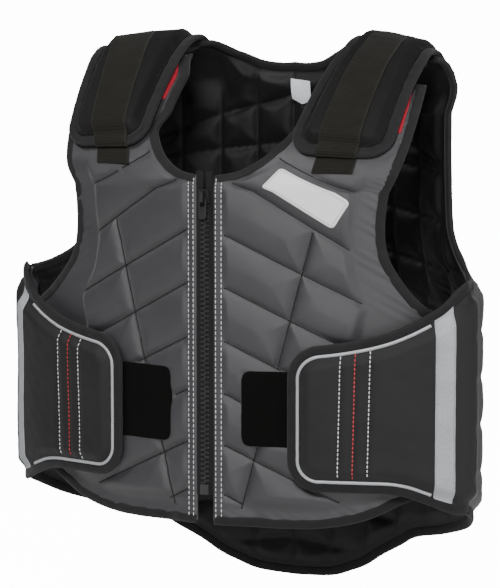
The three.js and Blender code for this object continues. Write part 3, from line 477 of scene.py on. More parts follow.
def padded_shell(cloth, face, a, b, top, bottom, lining=2):
    """A padded panel's outer skin, lining and rims, on one grid of a and b."""
    outward = OUTWARD[face] > 0
    outer = lift(face, a, b, top)
    inner = lift(face, a, b, bottom)
    uv = np.stack([a, b], -1)
    cloth.grid(outer, uv, flip=not outward)
    cloth.grid(inner[::lining, ::lining], uv[::lining, ::lining], flip=outward, mark=1)
    for edge, turn in ((np.s_[0, :], 1), (np.s_[-1, :], 0), (np.s_[:, 0], 0), (np.s_[:, -1], 1)):
        strip = np.stack([outer[edge], inner[edge]], 0)
        cloth.grid(strip, np.stack([uv[edge], uv[edge]], 0), flip=bool(turn) == outward)


def tape_ring(cloth, face, path, middle, loop=False, width=BINDING, half=3.0, seed=1):
    """Binding folded round an edge. The path runs with the cloth on its left."""
    path = np.asarray(path, float)
    if loop:
        path = np.vstack([path, path[:1]])
    along = np.gradient(path, axis=0)
    if loop:
        along[0] = along[-1] = path[1] - path[-2]
    along /= np.linalg.norm(along, axis=1, keepdims=True) + 1e-9
    inward = np.stack([-along[:, 1], along[:, 0]], -1)
    run = np.concatenate([[0], np.cumsum(np.hypot(*np.diff(path, axis=0).T))])
    wave = ripple(run, 0 * run, 15, seed) * 0.4
    closing = np.ones(len(run))
    if not loop:
        closing = np.sqrt(np.clip(np.minimum(run, run[-1] - run) / 2.5, 0.02, 1))
    shape = [
        (1.0, 0.5), (0.97, 0.84), (0.82, 0.94), (0.55, 1.0), (0.28, 0.96), (0.08, 0.8), (-0.03, 0.45),
        (-0.06, 0.0), (-0.03, -0.45), (0.08, -0.8), (0.28, -0.96), (0.55, -1.0), (0.82, -0.94),
        (0.97, -0.84), (1.0, -0.5),
    ]
    middle = middle(path[:, 0], path[:, 1]) if callable(middle) else middle
    rows = []
    uv = []
    for k, (reach, rise) in enumerate(shape):
        set_in = reach * (width + wave)
        crease = 0.10 * wave * (1 if rise > 0 else -1)
        up = middle + rise * half * (1 + crease) * closing + 0.2 * wave
        rows.append(lift(face, path[:, 0] + inward[:, 0] * set_in, path[:, 1] + inward[:, 1] * set_in, up))
        uv.append(np.stack([run, np.full(len(run), 1.6 * k)], -1))
    cloth.grid(np.stack(rows, 1), np.stack(uv, 1), flip=OUTWARD[face] < 0)


def cord_along(cloth, face, path, up, radius, loop=False, mark=0):
    """A round cord or piping along a path, its middle at a height above the face."""
    path = np.asarray(path, float)
    if loop:
        path = np.vstack([path, path[:1]])
    along = np.gradient(path, axis=0)
    if loop:
        along[0] = along[-1] = path[1] - path[-2]
    along /= np.linalg.norm(along, axis=1, keepdims=True) + 1e-9
    side = np.stack([along[:, 1], -along[:, 0]], -1)
    run = np.concatenate([[0], np.cumsum(np.hypot(*np.diff(path, axis=0).T))])
    angle = np.linspace(0, 2 * math.pi, 8, endpoint=False)[::-1]
    height = up(path[:, 0], path[:, 1]) if callable(up) else np.full(len(path), float(up))
    reach = np.cos(angle) * radius
    a = path[:, :1] + side[:, :1] * reach
    b = path[:, 1:] + side[:, 1:] * reach
    rise = height[:, None] + np.sin(angle) * radius * 0.8
    uv = np.stack(np.broadcast_arrays(run[:, None], angle[None, :] * radius), -1)
    cloth.grid(lift(face, a, b, rise), uv, flip=OUTWARD[face] < 0, loop=True, mark=mark)


def stitch_run(cloth, face, path, height, pitch=4.2, length=3.1, width=0.62, mark=0):
    """A row of thread stitches along a path, lying on the cloth."""
    dense = resample(path, 0.7)
    run = np.concatenate([[0], np.cumsum(np.hypot(*np.diff(dense, axis=0).T))])
    starts = (np.arange(int(run[-1] // pitch)) + 0.15) * pitch
    stations = np.array([0.0, 0.15, 0.5, 0.85, 1.0])
    swell = np.array([0.3, 0.85, 1.0, 0.85, 0.3])
    rise = np.array([-0.6, 0.1, 0.35, 0.1, -0.6])
    around = np.array([(-1, 0), (-0.5, 0.85), (0.5, 0.85), (1, 0), (0.0, -0.7)])
    for start in starts:
        s = start + stations * length
        a = np.interp(s, run, dense[:, 0])
        b = np.interp(s, run, dense[:, 1])
        da, db = a[-1] - a[0], b[-1] - b[0]
        size = math.hypot(da, db) or 1.0
        reach = around[:, 0] * width * swell[:, None]
        ring_a = a[:, None] + db / size * reach
        ring_b = b[:, None] - da / size * reach
        base = height(a, b)[:, None] if callable(height) else height
        up = base + rise[:, None] * width + around[:, 1] * width * 0.8 * swell[:, None] + 0.2
        uv = np.stack([ring_a, ring_b], -1)
        cloth.grid(lift(face, ring_a, ring_b, up), uv, flip=OUTWARD[face] < 0, loop=True, mark=mark)


def inner_loop(path, inset):
    """A closed outline drawn in towards its middle."""
    run = np.roll(path, -1, axis=0) - np.roll(path, 1, axis=0)
    run /= np.linalg.norm(run, axis=1, keepdims=True) + 1e-9
    shifted = path + np.stack([-run[:, 1], run[:, 0]], -1) * inset
    return np.vstack([shifted, shifted[:1]])


# Front panels
def hem_at(x):
    return np.interp(x, HEM[::-1, 0], HEM[::-1, 1])


def front_grid(step, side):
    """Distances from the middle and heights of a front panel's grid."""
    tuck = 2.5
    low = HEM[0, 1] + tuck
    top = SHOULDER_END[side]["top"] - tuck
    arm, neck = ARM[side], NECK[side]
    edge = np.linspace(low, top, 2 * int((top - low) / step / 2) + 1)
    outer = np.interp(edge, arm[::-1, 1], arm[::-1, 0])
    outer = np.where(edge > arm[-1, 1], outer, HEM[0, 0]) - tuck
    share = (edge - hem_at(outer) - tuck) / (top - hem_at(outer) - tuck)
    inner = np.full(len(edge), ZIP_GAP)
    for _ in range(40):
        h = mix(hem_at(inner) + tuck, top, share)
        inner = np.where(h > ZIP_TOP, np.interp(h, neck[::-1, 1], neck[::-1, 0]) + tuck, ZIP_GAP)
    u = np.linspace(0, 1, 2 * int(100 / step) + 1)
    x = mix(inner[:, None], outer[:, None], u)
    h = mix(hem_at(x) + tuck, top, share[:, None])
    return x, h


def front_middle(a, h):
    return level_margin(np.interp(a, FRONT.s, FRONT.x), h) - MARGIN / 2


def front_outline(side):
    run = np.vstack([HEM[::-1], ARM[side][::-1], NECK[side]])
    run = np.stack([FRONT.along(run[:, 0]), run[:, 1]], -1)
    return resample(run, 2.2)


def front_panel(name, side, step):
    x, h = front_grid(step, side)
    top = front_top(x, h, side)
    bottom = front_bottom(x, h, side)
    turn = np.where(h < ZIP_TOP, 1 - smooth((x - ZIP_GAP) / 2.6), 0)
    cloth = Cloth()
    padded_shell(cloth, front_face, FRONT.along(x), h, top - 1.5 * turn, bottom + 1.5 * turn)
    return cloth.build(name, side < 0)


def front_thread(name, side):
    """Black thread along a front panel's quilting seams."""
    cloth = Cloth()

    def height(a, b):
        return front_top(np.interp(a, FRONT.s, FRONT.x), b, side) + 0.3

    for start, fall in SEAMS[side]:
        x = np.linspace(14, 228, 240)
        h = start - fall * x
        fill, _ = front_fill(x, h, side)
        keep = (fill > 0.25) & (h > hem_at(x) + 14) & (h < -72) & (pressed(x, h, side) < 0.5)
        sew_runs(cloth, x, h, keep, height)
    h = np.linspace(-HEM_DROP + 16, -130, 240)
    x = CROSS[0] + CROSS[1] * h
    upper, fall = SEAMS[side][1]
    sew_runs(cloth, x, h, (h + fall * x < upper) & (pressed(x, h, side) < 0.5), height)
    return cloth.build(name, side < 0)


def sew_runs(cloth, x, h, keep, height):
    """Thread along each unbroken part of a path."""
    breaks = np.flatnonzero(np.diff(np.concatenate([[0], keep.astype(int), [0]])))
    for first, last in zip(breaks[::2], breaks[1::2]):
        if last - first > 6:
            path = np.stack([FRONT.along(x[first:last]), h[first:last]], -1)
            stitch_run(cloth, front_face, path, height, 3.0, 2.85, 0.62)


# Back
def back_ends(a, b):
    return smooth((b - BACK_TURN) / 50) * smooth((np.abs(a) - 58) / 26)


def back_middle(a, b):
    return -(BACK_PADDING - MARGIN) / 2 * (1 - back_ends(a, b)) - MARGIN / 2


def back_grid(step):
    tuck = 2.5
    low, high = SIDE_BOTTOM + tuck, BACK_CREST - tuck
    edge = np.linspace(low, high, int((high - low) / step))
    arm = np.interp(edge, BACK_ARM[-2::-1, 1], BACK_ARM[-2::-1, 0]) - tuck
    reach = np.where(edge > SIDE_TOP, arm, LOWER.total)
    tail = TAIL[::-1]

    def floor(a):
        return np.interp(a, tail[:, 0], tail[:, 1]) + tuck

    def ceiling(a):
        neck = np.interp(a, BACK_NECK[:, 0], BACK_NECK[:, 1])
        return np.where(a < BACK_NECK[-1, 0], neck, BACK_CREST) - tuck

    share = (edge - floor(reach)) / (ceiling(reach) - floor(reach))
    u = np.linspace(-1, 1, 2 * int(LOWER.total / step) + 1)
    a = reach[:, None] * u
    b = mix(floor(np.abs(a)), ceiling(np.abs(a)), share[:, None])
    return a, b


BACK_ROWS = [(-38.0, 0.33)] + [(-92.0 - 46.0 * k, 0.12) for k in range(10)]


def back_heights(a, b):
    neck = np.vstack([BACK_NECK, BACK_ARM[:1]])
    over = np.abs(a)
    rim = distance_to(neck[::5], over, b)
    rim = np.minimum(rim, distance_to(BACK_ARM[::5], over, b))
    rim = np.minimum(rim, distance_to(TAIL[::5], over, b))
    pad = smooth((rim - 9) / 13)
    ends = back_ends(a, b)
    full = pad * (1 - ends)
    block = 44.0
    channel = np.abs((over + block / 2) % block - block / 2)
    rows = np.full(np.shape(b), 99.0)
    for height, fall in BACK_ROWS:
        rows = np.minimum(rows, np.abs(b + fall * over - height))
    seam = np.minimum(channel, rows)
    margin = -(BACK_PADDING - MARGIN) / 2 * (1 - ends)
    crumple = ripple(a, b, 40, 41) * 0.7 + ripple(a, b, 17, 43) * 0.25
    top = mix(margin, 0, full) - full * 1.9 * bump(seam, 6.5) + crumple * (0.3 + 0.3 * full)
    groove = 4.0 * np.exp(-seam / 7.0) + 2.2 * np.exp(-seam / 2.2) - 0.8 * smooth(seam / 20)
    deep = margin - mix(MARGIN, 9.0, ends * pad)
    bottom = mix(deep, -BACK_PADDING, full) + full * groove - 0.5 * crumple * full
    return top, bottom


# Waist flaps
def flap_edges(reach):
    total = FRONT.total
    top = spline([
        (0.2 * total, -0.61 * HEM_DROP), (0.41 * total, -0.609 * HEM_DROP),
        (0.60 * total, -0.593 * HEM_DROP), (0.74 * total, -0.569 * HEM_DROP),
        (0.885 * total, -0.525 * HEM_DROP), (0.955 * total, -0.487 * HEM_DROP), (total, SIDE_TOP),
    ])
    bottom = spline([
        (0.2 * total, -0.9165 * HEM_DROP), (0.6 * total, -0.9165 * HEM_DROP),
        (0.74 * total, -0.92 * HEM_DROP), (0.83 * total, -0.936 * HEM_DROP),
        (0.94 * total, -0.961 * HEM_DROP), (total, SIDE_BOTTOM),
    ])
    front = float(FRONT.along(reach))

    def upper(a):
        away = np.clip(front + FLAP_CORNER - a, 0, FLAP_CORNER)
        inset = FLAP_CORNER - np.sqrt(FLAP_CORNER**2 - away**2)
        return np.interp(a, top[:, 0], top[:, 1]) - inset

    def lower(a):
        away = np.clip(front + FLAP_CORNER - a, 0, FLAP_CORNER)
        inset = FLAP_CORNER - np.sqrt(FLAP_CORNER**2 - away**2)
        return np.interp(a, bottom[:, 0], bottom[:, 1]) + inset

    return front, upper, lower


def flap_outline(reach, inset=0.0):
    """The flap's outline from its rear upper end round the front to its rear lower end."""
    front, upper, lower = flap_edges(reach)
    turn = front + FLAP_CORNER * (1 - np.cos(np.linspace(0, math.pi / 2, 24)))
    along = np.linspace(front + FLAP_CORNER, FRONT.total - 0.2, 60)[1:]
    a = np.concatenate([turn, along])
    up = np.stack([a, upper(a)], -1)[::-1]
    down = np.stack([a, lower(a)], -1)
    path = resample(np.vstack([up, down]), 2.2)
    if inset:
        run = np.gradient(path, axis=0)
        run /= np.linalg.norm(run, axis=1, keepdims=True)
        path = path + np.stack([-run[:, 1], run[:, 0]], -1) * inset
    return path


FLAP_SEAMS = [(57.0, "white"), (71.0, "red"), (85.0, "white")]
FLAP_STITCH_INSET = 8.0
PIPING_INSET = 10.0
PIPING_STOP = 36.0
# Reflective band: set from the flap's rear end, and its edges from there on each side
BAND = {"set": 27.0, "front": {1: -7.0, -1: 0.0}, "rear": 10.0}


def flap_heights(reach, seed):
    front = float(FRONT.along(reach))
    outline = flap_outline(reach)[::3]

    def top(a, b):
        rim = distance_to(outline, a, b)
        full = smooth((rim - 9) / 13)
        seam = np.full(np.shape(a), 99.0)
        for set_back, _ in FLAP_SEAMS:
            seam = np.minimum(seam, np.abs(a - front - set_back - 0.02 * b))
        fold = ripple(a, b * 0.7, 52, seed) * 0.8 + ripple(a, b, 19, seed + 1) * 0.25
        pucker = np.exp(-np.abs(rim - 12) / 6) * ripple(a + b, rim * 0.2, 12, seed + 2) * 0.35
        height = mix(MARGIN, FLAP_PADDING - 0.4, full) - 1.5 * bump(seam, 3.4) * full
        return FLAP_RISE + height + fold * (0.15 + 0.6 * full) + pucker

    return front, top


# Shoulder pads
def pad_rim(x, q, reach):
    """Distance inwards from the pad's rounded outline."""
    middle_x, middle_q = (PAD_INNER + PAD_OUTER) / 2, (reach - PAD_REAR) / 2
    half_x, half_q = (PAD_OUTER - PAD_INNER) / 2, (reach + PAD_REAR) / 2
    dx = np.abs(x - middle_x) - half_x + PAD_CORNER
    dq = np.abs(q - middle_q) - half_q + PAD_CORNER
    outside = np.hypot(np.maximum(dx, 0), np.maximum(dq, 0))
    return PAD_CORNER - outside - np.minimum(np.maximum(dx, dq), 0)


def pad_under(q):
    sunk = (PAD_RISE - 0.1) * (1 - smooth((q + PAD_REAR - 2) / 25))
    return PAD_RISE - 0.3 * sunk


def pad_outline(reach, inset=0.0):
    c = PAD_CORNER
    arc = np.linspace(0, math.pi / 2, 14)
    corners = [
        (PAD_OUTER - c, -PAD_REAR + c, -math.pi / 2),
        (PAD_OUTER - c, reach - c, 0.0),
        (PAD_INNER + c, reach - c, math.pi / 2),
        (PAD_INNER + c, -PAD_REAR + c, math.pi),
    ]
    runs = [
        np.stack([x + (c - inset) * np.cos(arc + turn), q + (c - inset) * np.sin(arc + turn)], -1)
        for x, q, turn in corners
    ]
    return resample(np.vstack(runs), 2.0, loop=True)


def pad_top(x, q, reach, seed):
    rim = pad_rim(x, q, reach)
    full = smooth((rim - 8.5) / 10)
    fold = ripple(x, q * 0.6, 48, seed) * 0.7 + ripple(x, q, 18, seed + 1) * 0.22
    pucker = np.exp(-np.abs(rim - 11) / 5) * ripple(x + q, rim * 0.3, 13, seed + 2) * 0.6
    crease = 0.9 * bump(rim - 10.5, 1.6)
    crown = 1.0 * smooth((rim - 14) / 26)
    puff = mix(MARGIN, SHOULDER_PADDING - 1.2, full) + crown * full - crease
    return pad_under(q) + puff + fold * full * 0.8 + pucker


# Materials
def node_group(name, inputs, outputs):
    tree = bpy.data.node_groups.new(name, "ShaderNodeTree")
    for label, kind, value in inputs:
        socket = tree.interface.new_socket(label, in_out="INPUT", socket_type=kind)
        socket.default_value = value
    for label, kind in outputs:
        tree.interface.new_socket(label, in_out="OUTPUT", socket_type=kind)
    return tree, tree.nodes.new("NodeGroupInput"), tree.nodes.new("NodeGroupOutput")


def math_node(tree, operation, *values):
    node = tree.nodes.new("ShaderNodeMath")
    node.operation = operation
    for socket, value in zip(node.inputs, values):
        if isinstance(value, (int, float)):
            socket.default_value = value
        else:
            tree.links.new(value, socket)
    return node.outputs[0]


def noise(tree, vector, scale, detail=3.0, roughness=0.55):
    node = tree.nodes.new("ShaderNodeTexNoise")
    node.inputs["Detail"].default_value = detail
    node.inputs["Roughness"].default_value = roughness
    if isinstance(scale, (int, float)):
        node.inputs["Scale"].default_value = scale
    else:
        tree.links.new(scale, node.inputs["Scale"])
    tree.links.new(vector, node.inputs["Vector"])
    return node.outputs["Fac"]


def weave_group():
    """Plain weave with uneven threads, from the cloth's own coordinates."""
    tree, given, made = node_group(
        "Plain weave",
        [("Thread pitch", "NodeSocketFloat", 0.0007), ("Unevenness", "NodeSocketFloat", 0.4)],
        [("Height", "NodeSocketFloat"), ("Shade", "NodeSocketFloat")],
    )
    uv = tree.nodes.new("ShaderNodeUVMap")
    uv.uv_map = "cloth"
    split = tree.nodes.new("ShaderNodeSeparateXYZ")
    tree.links.new(uv.outputs[0], split.inputs[0])
    turn = math_node(tree, "DIVIDE", 2 * math.pi, given.outputs["Thread pitch"])
    across = math_node(tree, "SINE", math_node(tree, "MULTIPLY", split.outputs[0], turn))
    up = math_node(tree, "SINE", math_node(tree, "MULTIPLY", split.outputs[1], turn))
    cross = math_node(tree, "MULTIPLY", across, up)
    grain = noise(tree, uv.outputs[0], 900.0, 2.0)
    rough = math_node(tree, "MULTIPLY", math_node(tree, "SUBTRACT", grain, 0.5), given.outputs["Unevenness"])
    height = math_node(tree, "ADD", math_node(tree, "MULTIPLY", cross, 0.5), rough)
    tree.links.new(height, made.inputs["Height"])
    patchy = noise(tree, uv.outputs[0], 26.0, 4.0)
    fine = noise(tree, uv.outputs[0], 420.0, 2.0)
    coarse_share = math_node(tree, "MULTIPLY", patchy, 0.55)
    fine_share = math_node(tree, "MULTIPLY", fine, 0.45)
    shade = math_node(tree, "ADD", coarse_share, fine_share)
    tree.links.new(shade, made.inputs["Shade"])
    return tree


def rib_group():
    """Ribs across a tape, running with its length."""
    tree, given, made = node_group(
        "Ribbed tape",
        [("Rib pitch", "NodeSocketFloat", 0.0012), ("Across", "NodeSocketFloat", 0.0)],
        [("Height", "NodeSocketFloat"), ("Shade", "NodeSocketFloat")],
    )
    uv = tree.nodes.new("ShaderNodeUVMap")
    uv.uv_map = "cloth"
    split = tree.nodes.new("ShaderNodeSeparateXYZ")
    tree.links.new(uv.outputs[0], split.inputs[0])
    lengthways = math_node(tree, "SUBTRACT", 1.0, given.outputs["Across"])
    along = math_node(tree, "MULTIPLY", split.outputs[0], lengthways)
    over = math_node(tree, "MULTIPLY", split.outputs[1], given.outputs["Across"])
    place = math_node(tree, "ADD", along, over)
    turn = math_node(tree, "DIVIDE", 2 * math.pi, given.outputs["Rib pitch"])
    rib = math_node(tree, "SINE", math_node(tree, "MULTIPLY", place, turn))
    grain = noise(tree, uv.outputs[0], 1400.0, 2.0)
    rib_share = math_node(tree, "MULTIPLY", rib, 0.5)
    grain_share = math_node(tree, "MULTIPLY", grain, 0.8)
    height = math_node(tree, "ADD", rib_share, grain_share)
    tree.links.new(height, made.inputs["Height"])
    patchy = noise(tree, uv.outputs[0], 60.0, 4.0)
    shade = math_node(tree, "ADD", math_node(tree, "MULTIPLY", rib, 0.18), patchy)
    tree.links.new(shade, made.inputs["Shade"])
    return tree


def pile_group():
    """Hooks or loops of a fastening tape."""
    tree, given, made = node_group(
        "Tape pile",
        [("Density", "NodeSocketFloat", 700.0)],
        [("Height", "NodeSocketFloat"), ("Shade", "NodeSocketFloat")],
    )
    uv = tree.nodes.new("ShaderNodeUVMap")
    uv.uv_map = "cloth"
    cells = tree.nodes.new("ShaderNodeTexVoronoi")
    tree.links.new(uv.outputs[0], cells.inputs["Vector"])
    tree.links.new(given.outputs["Density"], cells.inputs["Scale"])
    fuzz = noise(tree, uv.outputs[0], given.outputs["Density"], 4.0, 0.7)
    height = math_node(tree, "ADD", math_node(tree, "SUBTRACT", 1.0, cells.outputs["Distance"]), fuzz)
    tree.links.new(height, made.inputs["Height"])
    patchy = noise(tree, uv.outputs[0], 90.0, 5.0, 0.7)
    tree.links.new(math_node(tree, "MULTIPLY", patchy, fuzz), made.inputs["Shade"])
    return tree


def wear_group():
    """Paler rubbed edges and a little dust, as a mask."""
    tree, given, made = node_group(
        "Rubbed edges and dust",
        [("Edge wear", "NodeSocketFloat", 0.5), ("Dust", "NodeSocketFloat", 0.2)],
        [("Mask", "NodeSocketFloat")],
    )
    shape = tree.nodes.new("ShaderNodeNewGeometry")
    place = tree.nodes.new("ShaderNodeTexCoord")
    edge = tree.nodes.new("ShaderNodeMapRange")
    edge.inputs["From Min"].default_value = 0.52
    edge.inputs["From Max"].default_value = 0.62
    tree.links.new(shape.outputs["Pointiness"], edge.inputs["Value"])
    patch = noise(tree, place.outputs["Object"], 55.0, 5.0)
    rubbed = math_node(tree, "MULTIPLY", edge.outputs[0], patch)
    rubbed = math_node(tree, "MULTIPLY", rubbed, given.outputs["Edge wear"])
    speck = noise(tree, place.outputs["Object"], 900.0, 2.0)
    high = math_node(tree, "MULTIPLY", math_node(tree, "GREATER_THAN", speck, 0.70), given.outputs["Dust"])
    total = math_node(tree, "ADD", rubbed, high)
    clamp = tree.nodes.new("ShaderNodeClamp")
    tree.links.new(total, clamp.inputs["Value"])
    tree.links.new(clamp.outputs[0], made.inputs["Mask"])
    return tree


# Share of the usual gloss, for the finishes that aren't matt
SHINE = {
    "Outer nylon": 0.75, "Flap nylon": 0.22, "Inner nylon with painted shade": 0.22, "Zip plastic": 0.5,
    "Reflective piping": 0.4, "Badge plate": 0.4,
}


def surface(name, colour, pale, roughness, texture, bump_height, settings=(), sheen=0.0, wear=0.4,
            metallic=0.0, sheen_tint=(1.0, 1.0, 1.0)):
    """A cloth or plastic finish: colour varied by the texture's shade, worn edges, fine relief."""
    material = bpy.data.materials.new(name)
    material.use_nodes = True
    tree = material.node_tree
    shader = tree.nodes["Principled BSDF"]
    relief = tree.nodes.new("ShaderNodeGroup")
    relief.node_tree = bpy.data.node_groups[texture]
    for label, value in settings:
        relief.inputs[label].default_value = value
    rubbed = tree.nodes.new("ShaderNodeGroup")
    rubbed.node_tree = bpy.data.node_groups["Rubbed edges and dust"]
    rubbed.inputs["Edge wear"].default_value = wear
    rubbed.inputs["Dust"].default_value = 0.12 * wear
    ramp = tree.nodes.new("ShaderNodeMapRange")
    ramp.inputs["From Min"].default_value = 0.3
    ramp.inputs["From Max"].default_value = 0.75
    tree.links.new(relief.outputs["Shade"], ramp.inputs["Value"])
    base = tree.nodes.new("ShaderNodeMix")
    base.data_type = "RGBA"
    base.inputs["A"].default_value = (*[c * 0.82 for c in colour], 1)
    base.inputs["B"].default_value = (*[min(1, c * 1.18) for c in colour], 1)
    tree.links.new(ramp.outputs[0], base.inputs["Factor"])
    worn = tree.nodes.new("ShaderNodeMix")
    worn.data_type = "RGBA"
    worn.inputs["B"].default_value = (*pale, 1)
    tree.links.new(rubbed.outputs["Mask"], worn.inputs["Factor"])
    tree.links.new(base.outputs["Result"], worn.inputs["A"])
    tree.links.new(worn.outputs["Result"], shader.inputs["Base Color"])
    rough = tree.nodes.new("ShaderNodeMapRange")
    rough.inputs["To Min"].default_value = roughness - 0.06
    rough.inputs["To Max"].default_value = min(1.0, roughness + 0.06)
    tree.links.new(relief.outputs["Shade"], rough.inputs["Value"])
    tree.links.new(rough.outputs[0], shader.inputs["Roughness"])
    relief_bump = tree.nodes.new("ShaderNodeBump")
    relief_bump.inputs["Distance"].default_value = bump_height
    relief_bump.inputs["Strength"].default_value = 0.8
    tree.links.new(relief.outputs["Height"], relief_bump.inputs["Height"])
    tree.links.new(relief_bump.outputs[0], shader.inputs["Normal"])
    shader.inputs["Metallic"].default_value = metallic
    shader.inputs["Specular IOR Level"].default_value = SHINE.get(name, 0.14)
    shader.inputs["Sheen Weight"].default_value = sheen
    shader.inputs["Sheen Roughness"].default_value = 0.45
    shader.inputs["Sheen Tint"].default_value = (*sheen_tint, 1)
    return material


def finishes():
    weave_group()
    rib_group()
    pile_group()
    wear_group()
    fine = [("Thread pitch", 0.0007), ("Unevenness", 0.5)]
    surface("Outer nylon", (0.0225, 0.0205, 0.0240), (0.07, 0.068, 0.075), 0.46, "Plain weave", 0.00012,
            fine, 0.12, 0.5)
    surface("Flap nylon", (0.0135, 0.013, 0.013), (0.05, 0.05, 0.05), 0.55, "Plain weave", 0.00012,
            fine, 0.05, 0.5)
    surface("Pad nylon", (0.0075, 0.0072, 0.0070), (0.035, 0.035, 0.035), 0.6, "Plain weave", 0.00012,
            fine, 0.05, 0.4)
    surface("Lining mesh", (0.007, 0.007, 0.0075), (0.02, 0.02, 0.02), 0.85, "Plain weave", 0.0002,
            [("Thread pitch", 0.0016), ("Unevenness", 0.8)], 0.04, 0.2)
    # Lining of the back: dark cloth, its colour made darker still as painted shade for the inside of the
    # vest.
    surface("Inner nylon with painted shade", (0.0055, 0.0052, 0.0058), (0.02, 0.02, 0.022), 0.42, "Plain weave", 0.0001,
            fine, 0.05, 0.3)
    # Bindings: dark ribbed tape, its colour made darker still as painted shade along the edges.
    surface("Edge tape with painted shade", (0.014, 0.0135, 0.0145), (0.06, 0.06, 0.065), 0.72, "Ribbed tape", 0.00012,
            [("Rib pitch", 0.0009)], 0.12, 0.6)
    surface("Hook tape", (0.0125, 0.0120, 0.0095), (0.04, 0.04, 0.035), 0.9, "Ribbed tape", 0.0004,
            [("Rib pitch", 0.0018), ("Across", 1.0)], 0.06, 0.4)
    surface("Loop pile", (0.0012, 0.0012, 0.001), (0.008, 0.008, 0.008), 1.0, "Tape pile", 0.0003,
            [("Density", 1100.0)], 0.0, 0.15)
    surface("Red tape", (0.42, 0.018, 0.035), (0.5, 0.08, 0.09), 0.85, "Tape pile", 0.0002,
            [("Density", 1400.0)], 0.08, 0.3)
    surface("Reflective piping", (0.46, 0.47, 0.49), (0.6, 0.6, 0.6), 0.42, "Tape pile", 0.00006,
            [("Density", 2200.0)], 0.0, 0.2, 0.25)
    surface("Reflective band", (0.36, 0.37, 0.39), (0.5, 0.5, 0.5), 0.5, "Plain weave", 0.0003,
            [("Thread pitch", 0.0026), ("Unevenness", 0.3)], 0.1, 0.2, 0.15)
    surface("White thread", (0.72, 0.72, 0.73), (0.8, 0.8, 0.8), 0.6, "Ribbed tape", 0.0001,
            [("Rib pitch", 0.0008)], 0.2, 0.1)
    surface("Red thread", (0.55, 0.03, 0.04), (0.7, 0.2, 0.2), 0.6, "Ribbed tape", 0.0001,
            [("Rib pitch", 0.0008)], 0.2, 0.1)
    surface("Black thread", (0.002, 0.002, 0.002), (0.01, 0.01, 0.01), 0.8, "Ribbed tape", 0.0001,
            [("Rib pitch", 0.0008)], 0.2, 0.1)
    surface("Zip plastic", (0.012, 0.012, 0.013), (0.06, 0.06, 0.06), 0.33, "Tape pile", 0.00003,
            [("Density", 900.0)], 0.0, 0.5)
    surface("Zip tape", (0.010, 0.010, 0.011), (0.04, 0.04, 0.04), 0.85, "Ribbed tape", 0.0003,
            [("Rib pitch", 0.0012), ("Across", 1.0)], 0.2, 0.3)
    surface("Badge plate", (0.93, 0.92, 0.93), (0.95, 0.95, 0.95), 0.42, "Tape pile", 0.00002,
            [("Density", 600.0)], 0.2, 0.2)
    surface("Badge border", (0.35, 0.35, 0.37), (0.5, 0.5, 0.5), 0.6, "Ribbed tape", 0.0001,
            [("Rib pitch", 0.0008)], 0.1, 0.1)
    surface("Label cloth", (0.72, 0.74, 0.78), (0.8, 0.8, 0.8), 0.7, "Plain weave", 0.0001, fine, 0.2, 0.1)


def dress(item, names, nodes, body="vest"):
    """Gives a piece its finishes and its body, and hides the solids that it stands for."""
    for name in names:
        item.data.materials.append(bpy.data.materials[name])
    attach(item, body)
    if nodes:
        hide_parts(*nodes)
    return item


# Settings
class QuiltSettings(bpy.types.PropertyGroup):
    """How finely the padded cloth is made."""

    front_step: bpy.props.FloatProperty(
        name="Front mesh step", description="Spacing of the front panels' mesh, in millimetres",
        default=1.6, min=1.0, max=8.0,
    )
    back_step: bpy.props.FloatProperty(
        name="Back mesh step", description="Spacing of the back panel's mesh, in millimetres",
        default=3.2, min=2.0, max=10.0,
    )
    band_step: bpy.props.FloatProperty(
        name="Flap and pad mesh step", description="Spacing of the flaps' and pads' mesh, in millimetres",
        default=1.8, min=1.0, max=8.0,
    )


class StitchSettings(bpy.types.PropertyGroup):
    """Sizes of the thread."""

    thread: bpy.props.FloatProperty(
        name="Thread half width", description="Half the width of a contrast thread",
        default=0.0006, unit="LENGTH",
    )
    zip_pitch: bpy.props.FloatProperty(
        name="Zip stitch pitch", description="Spacing of the stitches beside the zip",
        default=0.0051, unit="LENGTH",
    )
    flap_pitch: bpy.props.FloatProperty(
        name="Flap stitch pitch", description="Spacing of the contrast stitches on the flaps",
        default=0.0042, unit="LENGTH",
    )


class StageSettings(bpy.types.PropertyGroup):
    """Camera and light."""

    azimuth: bpy.props.FloatProperty(
        name="Azimuth", description="Camera's way round the vest", default=math.radians(25), subtype="ANGLE",
    )
    elevation: bpy.props.FloatProperty(
        name="Elevation", description="Camera's angle above the horizon",
        default=math.radians(6.2), subtype="ANGLE",
    )
    distance: bpy.props.FloatProperty(
        name="Distance", description="Camera to the middle of the vest", default=2.8, unit="LENGTH",
    )
    lens: bpy.props.FloatProperty(
        name="Lens", description="Focal length in millimetres", default=171.4,
    )
    key_power: bpy.props.FloatProperty(
        name="Key light", description="Power of the large side lamp", default=60.0, unit="POWER",
    )


def millimetres(value):
    return value / MM


class VEST_OT_finishes(bpy.types.Operator):
    """Make the cloth, tape and plastic finishes"""

    bl_idname = "vest.finishes"
    bl_label = "Finishes"

    def execute(self, context):
        finishes()
        return {"FINISHED"}


class VEST_OT_fronts(bpy.types.Operator):
    """Build the two quilted front panels and their bindings"""

    bl_idname = "vest.fronts"
    bl_label = "Front panels"

    def execute(self, context):
        step = context.scene.vest_quilt.front_step
        for side, sign in SIDES.items():
            mirror = sign < 0
            panel = front_panel(f"quilted_front_{side}", sign, step)
            dress(panel, ["Outer nylon", "Lining mesh"], [f"front_panel_{side}"])
            edge = Cloth()
            tape_ring(edge, front_face, front_outline(sign), front_middle, seed=20 + sign)
            binding = edge.build(f"front_edge_tape_{side}", mirror)
            dress(binding, ["Edge tape with painted shade"], [f"front_binding_{side}"])
            thread = front_thread(f"quilting_thread_{side}", sign)
            dress(thread, ["Black thread"], [])
        return {"FINISHED"}


